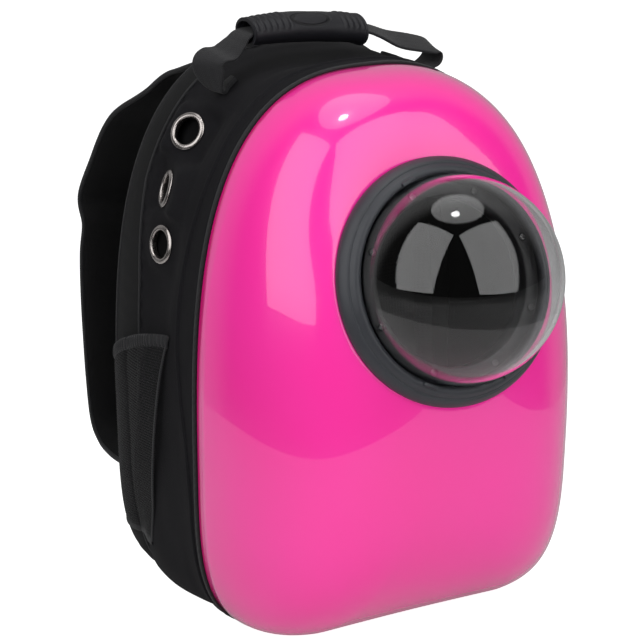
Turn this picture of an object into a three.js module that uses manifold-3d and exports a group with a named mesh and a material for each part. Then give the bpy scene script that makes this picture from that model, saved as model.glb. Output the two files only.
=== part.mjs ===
// Backpack carrier with a hard domed front shell, a clear bubble window and a cloth body.
// Millimetres, +Z up, the front faces -Y. The origin is the middle of the flat base.
import * as THREE from 'three';
import Module from 'manifold-3d';
import { mergeVertices } from 'three/addons/utils/BufferGeometryUtils.js';

const wasm = await Module();
wasm.setup();

// Body outline, seen from the front: a tombstone with a nearly square base
const bodyHeight = 410;
const bodyWidth = 279;
const bodyDepth = 132;
const widestHeight = 122;
const baseTrim = 1.5;
const crownRound = { across: 2.62, up: 3.08 };
const footRound = { across: 6.1, up: 3.08 };

// Front shell
const shellDepth = 126;
const shellWall = 2.6;
const poleHeight = 175;
const shellRound = {
  side: { inward: 4.1, forward: 2.0 },
  crown: { inward: 2.2, forward: 2.84 },
  foot: { inward: 3.1, forward: 2.0 },
};

// Bubble window: the ring's base plane is tipped back and the shell is flattened round it
const ringHeight = 278;
const ringForward = 108;
const ringTilt = 18.5;
const ringRadius = 86;
const ringRise = 15;
const domeRadius = 72;
const domeWall = 2.4;
const domeLift = 17;
const ledgeRadius = 59;
const ledgeRise = 11;
const grooveFloor = 4;
const barrelDepth = 4.6;
const shellHoleRadius = 63;
const seatMargin = 4;
const seatReach = { side: 50, foot: 125 };
const screwCount = 8;
const screwTurn = -25;
const screwRadius = 2.7;
const screwRise = 1.5;
const windowSides = 32;
const cutSides = 28;
const shellStep = 60;
const turnStep = 13;

// Ring's face from its outer edge in: out is a share from the groove to the edge, rise of ringRise
const ringFace = [
  { out: 1, rise: 0.3 },
  { out: 0.71, rise: 0.75 },
  { out: 0.44, rise: 1 },
  { out: 0.09, rise: 0.94 },
  { out: 0, rise: 0.8 },
];

// Cloth walls, each laid along the outline
const gap = 0.3;
const clothWall = 2;
const bindingDepth = 4.6;
const bindingRound = 1.2;
const weltWidth = 4;
const weltRise = 1.4;
const bandWall = 7;
const bandPuff = 3;
const panelThickness = 14;
const panelPuff = 2;
const panelEdge = { in: 3, out: 2 };
const panelSlope = 23;
const foldHeight = 7;
const clothStep = 56;
const eyeletStep = 11;

// Where the welt and the rear band lie: rise is a share of the height, depth one of the body depth
const weltLine = [
  { rise: 1.0, depth: 0.165 },
  { rise: 0.84, depth: 0.168 },
  { rise: 0.71, depth: 0.22 },
  { rise: 0.6, depth: 0.252 },
  { rise: 0.52, depth: 0.25 },
  { rise: 0.43, depth: 0.2 },
  { rise: 0.36, depth: 0.145 },
  { rise: 0.25, depth: 0.1 },
  { rise: 0.0, depth: 0.085 },
];
const bandLine = [
  { rise: 1.0, depth: 0.83 },
  { rise: 0.78, depth: 0.83 },
  { rise: 0.6, depth: 0.72 },
  { rise: 0.5, depth: 0.7 },
  { rise: 0.3, depth: 0.74 },
  { rise: 0.0, depth: 0.84 },
];

// Dents and swells of the cloth: along is a share of the width, push a share of foldHeight
const dents = [
  { rise: 1.0, depth: 0.38, along: 0.3, reach: 0.62, push: -1 },
  { rise: 0.89, depth: 0.3, along: 0.2, reach: 0.34, push: -0.45 },
  { rise: 0.6, depth: 0.42, along: 0.22, reach: 0.4, push: -0.3 },
  { rise: 0.06, depth: 0.52, along: 0.22, reach: 0.5, push: 1.1 },
];

// Air eyelets on each side: turn is how far the cloth round one faces the front, in degrees
const eyeletHole = 10;
const eyeletRadius = 14.2;
const eyeletBarrel = 1.5;
const eyeletRise = 2;
const eyeletPad = 14;
const eyeletFade = 12;
const eyeletSides = 12;
const eyeletCutSides = 16;
const eyeletRow = [
  { name: 'upper', rise: 0.876, depth: 0.585, turn: 24 },
  { name: 'middle', rise: 0.779, depth: 0.58, turn: -15 },
  { name: 'lower', rise: 0.685, depth: 0.525, turn: 7 },
];

// Net pocket on each side, in shares of the depth and the height; its crease runs from foot to top
const netWall = 1.2;
const netPuff = 7;
const hemWall = 2.2;
const pocket = { front: 0.33, rear: 0.985, foot: 0.12, hemFront: 0.535, hemRear: 0.455 };
const pocketCrease = { foot: 0.75, top: 0.2 };

// Carry handle: the grip has slid along its webbing, and it falls towards the right
const handleDepth = 65;
const webbingWidth = 25;
const webbingWall = 2.6;
const gripLength = 92;
const gripWidth = 32;
const gripThickness = 22;
const gripWall = 2.6;
const gripSides = 14;
const gripShift = -15;
const gripRise = 18.6;
const gripFall = 3.1;
const gripArch = 3.2;
const footNear = 58;
const footFar = 79;
const loopReach = 97;

// Free webbing from the body up to the grip: out is a share of the way from footFar to loopReach,
// rise one of the way up to the grip's end; lean drops the front edge and twist turns it, in degrees
const leftLoop = [
  { out: 0.28, rise: 0.06, lean: 0, twist: 14 },
  { out: 0.56, rise: 0.285, lean: 0, twist: 30 },
  { out: 0.67, rise: 0.51, lean: 4, twist: 36 },
  { out: 0.39, rise: 0.635, lean: 10, twist: 30 },
  { out: -0.17, rise: 0.68, lean: 12, twist: 18 },
  { out: -0.61, rise: 0.83, lean: 8, twist: 6 },
];
const rightLoop = [
  { out: 0.4, rise: 0.04, lean: 0, twist: 0 },
  { out: 0.85, rise: 0.15, lean: 8, twist: 0 },
  { out: 1, rise: 0.32, lean: 16, twist: 0 },
  { out: 0.85, rise: 0.45, lean: 22, twist: 0 },
  { out: 0.05, rise: 0.565, lean: 25, twist: 0 },
  { out: -1.05, rise: 0.7, lean: 24, twist: 0 },
  { out: -2.1, rise: 0.93, lean: 14, twist: 0 },
];

// Shoulder straps: out is the centre's distance from the middle, back its distance behind
// the back panel, both shares of their largest values; wide and thick are shares too
const strapSpread = 87;
const strapBow = 110;
const strapWidth = 64;
const strapThickness = 13;
const strapCorner = 4;
const strapRoute = [
  { out: 0.4, back: 0.006, rise: 0.956, wide: 0.8, thick: 0.4 },
  { out: 0.4, back: 0.04, rise: 0.956, wide: 0.8, thick: 0.4 },
  { out: 0.44, back: 0.15, rise: 0.95, wide: 0.8, thick: 0.45 },
  { out: 0.55, back: 0.33, rise: 0.922, wide: 0.84, thick: 0.65 },
  { out: 0.69, back: 0.47, rise: 0.883, wide: 0.9, thick: 0.9 },
  { out: 0.83, back: 0.62, rise: 0.845, wide: 0.97, thick: 1 },
  { out: 0.9, back: 0.71, rise: 0.812, wide: 1, thick: 1 },
  { out: 0.95, back: 0.83, rise: 0.755, wide: 1, thick: 1 },
  { out: 0.995, back: 0.99, rise: 0.675, wide: 1, thick: 1 },
  { out: 0.985, back: 0.955, rise: 0.62, wide: 1, thick: 0.9 },
  { out: 1, back: 0.985, rise: 0.56, wide: 1, thick: 1 },
  { out: 1, back: 1, rise: 0.48, wide: 1, thick: 1 },
  { out: 1, back: 0.99, rise: 0.4, wide: 1, thick: 1 },
  { out: 1, back: 0.975, rise: 0.3, wide: 0.98, thick: 1 },
  { out: 1, back: 0.94, rise: 0.222, wide: 0.95, thick: 1 },
  { out: 1, back: 0.83, rise: 0.186, wide: 0.92, thick: 1 },
  { out: 1.02, back: 0.64, rise: 0.176, wide: 0.88, thick: 0.95 },
  { out: 1.02, back: 0.44, rise: 0.174, wide: 0.84, thick: 0.8 },
];
const lockWidth = 34;
const lockLength = 24;
const lockThickness = 5;
const lockBar = 4;
const anchorHeight = 63;
const tapeWidth = 25;
const tapeWall = 2;

// Colours and finishes
const finish = (color, roughness, metalness = 0) =>
  new THREE.MeshStandardMaterial({ color, roughness, metalness });
const pinkGloss = finish(0xf5309a, 0.12);
const slateRubber = finish(0x2c3035, 0.45);
const blackCloth = finish(0x17171a, 0.85);
const blackNet = finish(0x121214, 0.9);
const nickel = finish(0xb9b6b2, 0.25, 1);
const blackGrip = finish(0x1c1d20, 0.6);
const blackPlastic = finish(0x101012, 0.4);
const clear = finish(0xe8edf0, 0.05);
clear.transparent = true;
clear.opacity = 0.3;

const carrier = new THREE.Group();
const rimFrame = new THREE.Group();
rimFrame.position.y = -bodyDepth / 2;
carrier.add(rimFrame);

// Small maths helpers
const clamp01 = (value) => Math.min(1, Math.max(0, value));
const smooth = (value) => clamp01(value) ** 2 * (3 - 2 * clamp01(value));
const bump = (value) => (Math.abs(value) < 1 ? 0.5 * (1 + Math.cos(Math.PI * value)) : 0);
const mix = (a, b, t) => a + (b - a) * t;

// Reads a table at a height share, with rows from the top down
function readTable(table, rise, column) {
  const next = table.findIndex((row) => row.rise <= rise);
  if (next <= 0) return table[next === 0 ? 0 : table.length - 1][column];
  const above = table[next - 1];
  const below = table[next];
  return mix(below[column], above[column], (rise - below.rise) / (above.rise - below.rise));
}

// Builds one closed surface out of loops of points, and turns its faces outward
class Skin {
  constructor() {
    this.points = [];
    this.faces = [];
  }

  loop(list) {
    const first = this.points.length;
    this.points.push(...list);
    return list.map((point, index) => first + index);
  }

  bridge(a, b, closed = true) {
    const last = closed ? a.length : a.length - 1;
    for (let i = 0; i < last; i += 1) {
      const j = (i + 1) % a.length;
      this.faces.push([a[i], a[j], b[j]], [a[i], b[j], b[i]]);
    }
  }

  fan(loop, centre, reverse) {
    const [hub] = this.loop([centre]);
    loop.forEach((corner, i) => {
      const next = loop[(i + 1) % loop.length];
      this.faces.push(reverse ? [hub, next, corner] : [hub, corner, next]);
    });
  }

  geometry() {
    const volume = this.faces.reduce((sum, [a, b, c]) => {
      const cross = new THREE.Vector3().crossVectors(this.points[b], this.points[c]);
      return sum + this.points[a].dot(cross);
    }, 0);
    const faces = volume < 0 ? this.faces.map(([a, b, c]) => [a, c, b]) : this.faces;
    const made = new THREE.BufferGeometry().setFromPoints(this.points);
    made.setIndex(faces.flat());
    made.computeVertexNormals();
    return made;
  }
}

// A tube of sections with a cap on each end
function cappedTube(sections) {
  const skin = new Skin();
  const loops = sections.map((section) => skin.loop(section));
  for (let i = 1; i < loops.length; i += 1) skin.bridge(loops[i - 1], loops[i]);
  const middle = (section) =>
    section.reduce((sum, point) => sum.add(point), new THREE.Vector3()).divideScalar(section.length);
  skin.fan(loops[0], middle(sections[0]), true);
  skin.fan(loops.at(-1), middle(sections.at(-1)), false);
  return skin.geometry();
}

// A ring of sections that meets itself
function closedRing(sections) {
  const skin = new Skin();
  const loops = sections.map((section) => skin.loop(section));
  loops.forEach((loop, i) => skin.bridge(loop, loops[(i + 1) % loops.length]));
  return skin.geometry();
}

function toSolid(geometry) {
  const bare = geometry.clone();
  bare.deleteAttribute('normal');
  bare.deleteAttribute('uv');
  const merged = mergeVertices(bare, 1e-4);
  return new wasm.Manifold(new wasm.Mesh({
    numProp: 3,
    vertProperties: new Float32Array(merged.attributes.position.array),
    triVerts: new Uint32Array(merged.index.array),
  }));
}

function toGeometry(solid) {
  const mesh = solid.getMesh();
  const made = new THREE.BufferGeometry();
  made.setAttribute('position', new THREE.BufferAttribute(new Float32Array(mesh.vertProperties), 3));
  made.setIndex(new THREE.BufferAttribute(new Uint32Array(mesh.triVerts), 1));
  made.computeVertexNormals();
  return made;
}

function add(name, geometry, material, parent = rimFrame) {
  const mesh = new THREE.Mesh(geometry, material);
  mesh.name = name;
  parent.add(mesh);
  return mesh;
}

// Outline: half of it is sampled from the crown's middle to the base's middle
const halfOutline = (() => {
  const radius = bodyWidth / 2;
  const crown = bodyHeight + baseTrim - widestHeight;
  const samples = [];
  const steps = 400;
  for (let i = 0; i <= steps; i += 1) {
    const turn = (Math.PI / 2) * (i / steps);
    const up = Math.sin(Math.PI / 2 - turn) ** (2 / crownRound.up);
    const across = Math.cos(Math.PI / 2 - turn) ** (2 / crownRound.across);
    samples.push(new THREE.Vector2(radius * across, widestHeight + crown * up));
  }
  for (let i = 1; i <= steps; i += 1) {
    const share = i / steps;
    const up = 1 - (1 - share) ** 2;
    const across = (1 - up ** footRound.up) ** (1 / footRound.across);
    samples.push(new THREE.Vector2(radius * across, widestHeight * (1 - up)));
  }
  samples.forEach((point) => point.setY(Math.max(0, point.y - baseTrim)));
  samples.push(new THREE.Vector2(0, 0));
  let length = 0;
  return samples.map((point, i) => {
    if (i > 0) length += point.distanceTo(samples[i - 1]);
    return { point, length };
  });
})();
const halfLength = halfOutline.at(-1).length;

// Point and outward normal of the outline at an arc length from the crown, negative on the left
function outlineAt(arc) {
  const side = arc < 0 ? -1 : 1;
  const reach = Math.min(Math.abs(arc), halfLength);
  const place = (length) => {
    const i = Math.max(1, halfOutline.findIndex((sample) => sample.length >= length));
    const [a, b] = [halfOutline[i - 1], halfOutline[i]];
    return a.point.clone().lerp(b.point, (length - a.length) / (b.length - a.length));
  };
  const step = 1.5;
  const before = place(Math.max(0, reach - step));
  const after = place(Math.min(halfLength, reach + step));
  const along = after.sub(before).normalize();
  const point = place(reach);
  return { x: side * point.x, z: point.y, nx: side * -along.y, nz: along.x, arc, reach };
}

// Arc length at which the outline has come down to a share of the height
function arcAtRise(rise) {
  const found = halfOutline.find((sample) => sample.point.y <= rise * bodyHeight);
  return found ? found.length : halfLength;
}

const eyelets = eyeletRow.map((row) => ({ ...row, arc: arcAtRise(row.rise), y: row.depth * bodyDepth }));
const dentPlaces = dents.map((row) => ({ ...row, arc: arcAtRise(row.rise) }));

// Arc lengths of the stations round the outline, closer where it bends and near fineArcs
function stations(arcStep, turnStep, fineArcs = [], fineReach = 0, fineStep = arcStep) {
  const half = [];
  let load = 0;
  let previous = outlineAt(0);
  const walk = halfLength / 600;
  for (let arc = walk; arc < halfLength; arc += walk) {
    const here = outlineAt(arc);
    const bend = Math.acos(clamp01(previous.nx * here.nx + previous.nz * here.nz));
    const fine = fineArcs.some((centre) => Math.abs(arc - centre) < fineReach);
    load += walk / (fine ? fineStep : arcStep) + THREE.MathUtils.radToDeg(bend) / turnStep;
    if (load >= 1) {
      half.push(arc);
      load = 0;
    }
    previous = here;
  }
  const tooClose = half.length && halfLength - half.at(-1) < arcStep / 4;
  const right = tooClose ? half.slice(0, -1) : half;
  return [0, ...right, halfLength, ...right.map((arc) => -arc).reverse()];
}

// How far the cloth stands out from the outline
function clothOut(reach, y) {
  const folds = dentPlaces.reduce((sum, dent) => {
    const along = bump((reach - dent.arc) / (dent.along * bodyWidth));
    const across = bump((y - dent.depth * bodyDepth) / (dent.reach * bodyDepth));
    return sum + dent.push * foldHeight * along * across;
  }, 0);
  return eyelets.reduce((sum, eyelet) => {
    const along = 1 - smooth((Math.abs(reach - eyelet.arc) - eyeletPad) / eyeletFade);
    const across = 1 - smooth((Math.abs(y - eyelet.y) - eyeletPad) / (2 * eyeletFade));
    const slope = Math.tan(THREE.MathUtils.degToRad(eyelet.turn));
    const flat = sum * (1 - along * across) + clothOutAt(eyelet) * along * across;
    return flat + slope * (y - eyelet.y) * along * across;
  }, folds);
}

function clothOutAt(eyelet) {
  return dentPlaces.reduce((sum, dent) => {
    const along = bump((eyelet.arc - dent.arc) / (dent.along * bodyWidth));
    const across = bump((eyelet.y - dent.depth * bodyDepth) / (dent.reach * bodyDepth));
    return sum + dent.push * foldHeight * along * across;
  }, 0);
}

const fadeAtEnds = (y, from, to, length) => smooth((y - from) / length) * smooth((to - y) / length);
const riseOf = (reach) => outlineAt(reach).z / bodyHeight;
const weltAt = (reach) => readTable(weltLine, riseOf(reach), 'depth') * bodyDepth;
const bandAt = (reach) => readTable(bandLine, riseOf(reach), 'depth') * bodyDepth;

// Cloth offset with both edges of the body panel held by the welt and the rear band
function panelOut(reach, y) {
  return clothOut(reach, y) * fadeAtEnds(y, weltAt(reach), bandAt(reach), bodyDepth * 0.16);
}

// Offset of the outermost cloth, with the padded rear band
function outerOut(reach, y) {
  const start = bandAt(reach);
  if (y <= start) return panelOut(reach, y);
  return bandPuff * Math.sin(Math.PI * clamp01((y - start) / (bodyDepth - start))) ** 0.6;
}

// Lays a section of { y, out } pairs along the outline
function layOnOutline(arcs, sectionAt) {
  return arcs.map((arc) => {
    const at = outlineAt(arc);
    return sectionAt(at.reach).map(({ y, out }) =>
      new THREE.Vector3(at.x + at.nx * out, y, at.z + at.nz * out));
  });
}

// A length of cloth: each section lists its outer points and then as many inner ones
function clothLength(sections) {
  const skin = new Skin();
  const loops = sections.map((section) => skin.loop(section));
  for (let i = 1; i < loops.length; i += 1) skin.bridge(loops[i - 1], loops[i]);
  const faces = (loop) => [loop.slice(0, loop.length / 2), loop.slice(loop.length / 2).reverse()];
  const [firstOuter, firstInner] = faces(loops[0]);
  const [lastOuter, lastInner] = faces(loops.at(-1));
  skin.bridge(firstInner, firstOuter, false);
  skin.bridge(lastOuter, lastInner, false);
  return skin.geometry();
}

// On the base nothing may stand below the floor, so the cloth keeps to its plane there
const baseHold = (reach) => smooth((halfLength - reach) / (bodyWidth * 0.3) - 0.6);

function cutter(radius, length, centre, axis, sides) {
  const cylinder = new THREE.CylinderGeometry(radius, radius, length, sides);
  const turn = new THREE.Quaternion().setFromUnitVectors(new THREE.Vector3(0, 1, 0), axis);
  cylinder.applyQuaternion(turn);
  cylinder.translate(centre.x, centre.y, centre.z);
  return toSolid(cylinder);
}

// Window axis
const tilt = THREE.MathUtils.degToRad(ringTilt);
const windowAxis = new THREE.Vector3(0, -Math.cos(tilt), Math.sin(tilt));
const windowUp = new THREE.Vector3(0, Math.sin(tilt), Math.cos(tilt));
const windowCentre = new THREE.Vector3(0, -ringForward, ringHeight);

// Point of the shell's outer surface without its window: climb runs from 0 at the rim to 1 at the pole
function freeShellPoint(at, climb) {
  const dx = at.x;
  const dz = at.z - poleHeight;
  const sideShare = dx ** 2 / (dx ** 2 + dz ** 2);
  const end = dz > 0 ? shellRound.crown : shellRound.foot;
  const inward = mix(end.inward, shellRound.side.inward, sideShare);
  const forward = mix(end.forward, shellRound.side.forward, sideShare);
  const phi = (Math.PI / 2) * climb;
  const shrink = Math.cos(phi) ** (2 / inward);
  const depth = Math.sin(phi) ** (2 / forward);
  return new THREE.Vector3(dx * shrink, -shellDepth * depth, poleHeight + dz * shrink);
}

// y of that surface at a place seen from the front
function freeShellDepth(x, z) {
  const bearing = Math.atan2(Math.abs(x), z - poleHeight);
  let [low, high] = [0, halfLength];
  let at = outlineAt(halfLength / 2);
  for (let i = 0; i < 20; i += 1) {
    const before = Math.atan2(at.x, at.z - poleHeight) < bearing;
    low = before ? at.reach : low;
    high = before ? high : at.reach;
    at = outlineAt((low + high) / 2);
  }
  const rim = Math.hypot(at.x, at.z - poleHeight);
  const share = Math.min(1, Math.hypot(x, z - poleHeight) / rim);
  const end = z > poleHeight ? shellRound.crown : shellRound.foot;
  const inward = mix(end.inward, shellRound.side.inward, Math.sin(bearing) ** 2);
  return freeShellPoint(at, Math.acos(share ** (inward / 2)) / (Math.PI / 2)).y;
}

// Heights of that surface over the edge of the window's seat, from its foot up one side to its crown
const seatRadius = ringRadius + seatMargin;
const seatSteps = 24;
const seatHeights = Array.from({ length: seatSteps + 1 }, (_, i) => {
  const turn = Math.PI * (i / seatSteps - 0.5);
  const edge = windowCentre.clone().addScaledVector(windowUp, seatRadius * Math.sin(turn));
  edge.x += seatRadius * Math.cos(turn);
  let height = 0;
  for (let pass = 0; pass < 12; pass += 1) {
    const point = edge.clone().addScaledVector(windowAxis, height);
    height += 0.9 * (point.y - freeShellDepth(point.x, point.z)) * Math.cos(tilt);
  }
  return height;
});

// Point of the shell's outer surface with the window's flat seat
function shellPoint(at, climb) {
  const point = freeShellPoint(at, climb);
  if (climb <= 0) return point;
  const height = point.clone().sub(windowCentre).dot(windowAxis);
  const foot = point.clone().addScaledVector(windowAxis, -height);
  const away = foot.distanceTo(windowCentre);
  if (away < seatRadius) return foot;
  const sine = THREE.MathUtils.clamp(foot.clone().sub(windowCentre).dot(windowUp) / away, -1, 1);
  const place = (Math.asin(sine) / Math.PI + 0.5) * seatSteps;
  const step = Math.min(seatSteps - 1, Math.floor(place));
  const edgeHeight = mix(seatHeights[step], seatHeights[step + 1], place - step);
  const reach = mix(seatReach.side, seatReach.foot, smooth(-sine));
  const fade = Math.max(0, 1 - (away - seatRadius) / reach) ** 2;
  return point.addScaledVector(windowAxis, -edgeHeight * fade);
}

function buildShell() {
  const arcs = stations(shellStep, turnStep);
  const climbs = [0, 0.09, 0.22, 0.36, 0.5, 0.62, 0.73, 0.83, 0.93];
  const skin = new Skin();
  const nudge = 0.01;
  const outer = climbs.map((climb) => arcs.map((arc) => shellPoint(outlineAt(arc), climb)));
  const inner = climbs.map((climb, row) => arcs.map((arc, column) => {
    const here = outer[row][column];
    const rimward = shellPoint(outlineAt(arc), Math.max(0.002, climb - nudge));
    const poleward = shellPoint(outlineAt(arc), climb + nudge);
    const before = outer[row][(column + arcs.length - 1) % arcs.length];
    const after = outer[row][(column + 1) % arcs.length];
    const normal = new THREE.Vector3()
      .crossVectors(poleward.sub(rimward), after.clone().sub(before)).normalize();
    const point = here.clone().addScaledVector(normal, -shellWall);
    if (row === 0) point.y = 0;
    return point;
  }));
  const outerLoops = outer.map((list) => skin.loop(list));
  const innerLoops = inner.map((list) => skin.loop(list));
  for (let row = 1; row < climbs.length; row += 1) {
    skin.bridge(outerLoops[row - 1], outerLoops[row]);
    skin.bridge(innerLoops[row], innerLoops[row - 1]);
  }
  skin.bridge(innerLoops[0], outerLoops[0]);
  skin.fan(outerLoops.at(-1), shellPoint(outlineAt(halfLength), 1), false);
  const innerPole = shellPoint(outlineAt(halfLength), 1).add(new THREE.Vector3(0, shellWall, 0));
  skin.fan(innerLoops.at(-1), innerPole, true);
  const hole = cutter(shellHoleRadius, ringRadius, windowCentre, windowAxis, cutSides);
  const seatMiddle = windowCentre.clone().addScaledVector(windowAxis, ringRise);
  const seat = cutter(ringRadius + 2 * gap, 2 * ringRise, seatMiddle, windowAxis, cutSides);
  return toGeometry(toSolid(skin.geometry()).subtract(hole).subtract(seat));
}

// Turned pieces on the window axis: profile points are [radius, height above the ring's base]
function turned(profile, sides) {
  const points = profile.map(([radius, height]) => new THREE.Vector2(radius, height));
  points.push(points[0].clone());
  return new THREE.LatheGeometry(points, sides);
}

function onWindow(mesh) {
  mesh.position.copy(windowCentre);
  mesh.quaternion.setFromUnitVectors(new THREE.Vector3(0, 1, 0), windowAxis);
}

function buildWindow() {
  const skirtInner = domeRadius - domeWall;
  const barrelRadius = shellHoleRadius - 3 * gap;
  const grooveOuter = domeRadius + gap;
  const ring = turned([
    [barrelRadius, -barrelDepth],
    [barrelRadius, gap],
    [ringRadius, gap],
    ...ringFace.map((row) => [mix(grooveOuter, ringRadius, row.out), ringRise * row.rise]),
    [grooveOuter, grooveFloor],
    [skirtInner - gap, grooveFloor],
    [skirtInner - gap, ledgeRise],
    [ledgeRadius, ledgeRise],
    [ledgeRadius, -barrelDepth],
  ], windowSides);
  onWindow(add('window_ring', ring, slateRubber));

  const arcPoints = (radius, from, to, count) => Array.from({ length: count + 1 }, (unused, i) => {
    const turn = mix(from, to, i / count);
    return [Math.max(0, radius * Math.cos(turn) - 1e-9), domeLift + radius * Math.sin(turn)];
  });
  const dome = turned([
    [skirtInner, grooveFloor + gap],
    [domeRadius, grooveFloor + gap],
    ...arcPoints(domeRadius, 0, Math.PI / 2, 6),
    ...arcPoints(skirtInner, Math.PI / 2, 0, 5),
  ], windowSides);
  onWindow(add('bubble_dome', dome, clear));

  const screwCircle = mix(ledgeRadius, skirtInner, 0.52);
  for (let i = 0; i < screwCount; i += 1) {
    const turn = THREE.MathUtils.degToRad(screwTurn + (360 / screwCount) * i);
    const head = new THREE.CylinderGeometry(screwRadius * 0.8, screwRadius, screwRise, 8);
    const screw = add(`ring_screw_${i + 1}`, head, nickel);
    onWindow(screw);
    screw.position
      .addScaledVector(new THREE.Vector3(1, 0, 0), screwCircle * Math.cos(turn))
      .addScaledVector(windowUp, screwCircle * Math.sin(turn))
      .addScaledVector(windowAxis, ledgeRise + gap + screwRise / 2);
  }
}

function buildCloth() {
  const coarse = stations(clothStep, turnStep);
  const eyeletArcs = eyelets.map((eyelet) => eyelet.arc);
  const fine = stations(clothStep, turnStep, eyeletArcs, eyeletPad + eyeletFade, eyeletStep);
  const binding = closedRing(layOnOutline(coarse, () => [
    { y: gap, out: 0 },
    { y: bindingDepth * 0.3, out: bindingRound },
    { y: bindingDepth * 0.75, out: bindingRound },
    { y: bindingDepth, out: 0 },
    { y: bindingDepth, out: -shellWall },
    { y: gap, out: -shellWall },
  ]));
  add('edge_binding', keepAboveFloor(binding), blackCloth);

  const frontStrip = closedRing(layOnOutline(fine, (reach) => {
    const end = weltAt(reach) - gap;
    const hold = baseHold(reach);
    return [
      { y: bindingDepth + gap, out: 0 },
      { y: end - weltWidth, out: 0 },
      { y: end - weltWidth * 0.8, out: weltRise * hold },
      { y: end, out: weltRise * hold },
      { y: end, out: -clothWall },
      { y: bindingDepth + gap, out: -clothWall },
    ];
  }));
  add('front_strip', keepAboveFloor(frontStrip), blackCloth);

  const rows = [0, 0.24, 0.5, 0.76, 1];
  const gussetSection = (reach) => {
    const from = weltAt(reach) + gap;
    const to = bandAt(reach) - gap;
    const outer = rows.map((share) => {
      const y = mix(from, to, share);
      return { y, out: panelOut(reach, y) * baseHold(reach) };
    });
    const inner = outer.map(({ y, out }) => ({ y, out: out - clothWall })).reverse();
    return [...outer, ...inner];
  };
  const between = fine.filter((arc) => arc > 0 && arc < halfLength);
  const oneSide = [gap / 2, ...between, halfLength - gap / 2];
  [-1, 1].forEach((side) => {
    const sections = layOnOutline(oneSide.map((arc) => side * arc), gussetSection);
    const holes = eyeletPlaces.filter((place) => place.side === side).map(({ centre, axis }) =>
      cutter(eyeletHole + eyeletBarrel + gap, foldHeight * 3, centre, axis, eyeletCutSides));
    const whole = toSolid(keepAboveFloor(clothLength(sections)));
    const gusset = holes.reduce((solid, hole) => solid.subtract(hole), whole);
    add(side < 0 ? 'gusset_left' : 'gusset_right', toGeometry(gusset), blackCloth);
  });

  const band = closedRing(layOnOutline(coarse, (reach) => {
    const from = bandAt(reach) + 2.5 * gap;
    const hold = baseHold(reach);
    const outer = [0, 0.22, 0.6, 0.88].map((share) => {
      const y = mix(from, bodyDepth, share);
      return { y, out: outerOut(reach, y) * hold };
    });
    return [
      ...outer,
      { y: bodyDepth, out: -bandWall * 0.4 * hold - 0.2 },
      { y: bodyDepth, out: -bandWall },
      { y: from, out: -bandWall * 0.6 },
    ];
  }));
  add('rear_band', keepAboveFloor(band), blackCloth);
}

// The base is flat: corners that a section would push under the floor are laid on it
function keepAboveFloor(geometry) {
  const position = geometry.attributes.position;
  for (let i = 0; i < position.count; i += 1) {
    if (position.getZ(i) < 0) position.setZ(i, 0);
  }
  return geometry;
}

// Padded panel that closes the back
function buildBackPanel() {
  const arcs = stations(shellStep, turnStep);
  const inset = bandWall + gap;
  const start = bodyDepth - panelThickness;
  const steps = [
    { y: start, in: inset + panelEdge.in },
    { y: start + panelEdge.out, in: inset },
    { y: bodyDepth - panelEdge.out, in: inset },
    { y: bodyDepth, in: inset + panelEdge.in },
    { y: bodyDepth + panelPuff, in: inset + panelEdge.in + panelSlope },
  ];
  const sections = steps.map((step) => arcs.map((arc) => {
    const at = outlineAt(arc);
    return new THREE.Vector3(at.x - at.nx * step.in, step.y, at.z - at.nz * step.in);
  }));
  add('back_panel', cappedTube(sections), blackCloth);
}

// Eyelets: each lies on the cloth, which turns with it
const eyeletPlaces = [-1, 1].flatMap((side) => eyelets.map((eyelet) => {
  const at = outlineAt(side * eyelet.arc);
  const out = panelOut(at.reach, eyelet.y);
  const slope = (panelOut(at.reach, eyelet.y + 5) - panelOut(at.reach, eyelet.y - 5)) / 10;
  const axis = new THREE.Vector3(at.nx, -slope, at.nz).normalize();
  const centre = new THREE.Vector3(at.x + at.nx * out, eyelet.y, at.z + at.nz * out);
  return { name: `eyelet_${side < 0 ? 'left' : 'right'}_${eyelet.name}`, side, centre, axis };
}));

function buildEyelets() {
  eyeletPlaces.forEach(({ name, centre, axis }) => {
    const barrel = eyeletHole + eyeletBarrel;
    const ring = turned([
      [eyeletHole, -clothWall - 1],
      [barrel, -clothWall - 1],
      [barrel, 3 * gap],
      [eyeletRadius, 3 * gap],
      [eyeletRadius - 1, eyeletRise],
      [eyeletHole + 0.8, eyeletRise],
    ], eyeletSides);
    const mesh = add(name, ring, nickel);
    mesh.position.copy(centre);
    mesh.quaternion.setFromUnitVectors(new THREE.Vector3(0, 1, 0), axis);
  });
}

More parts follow.
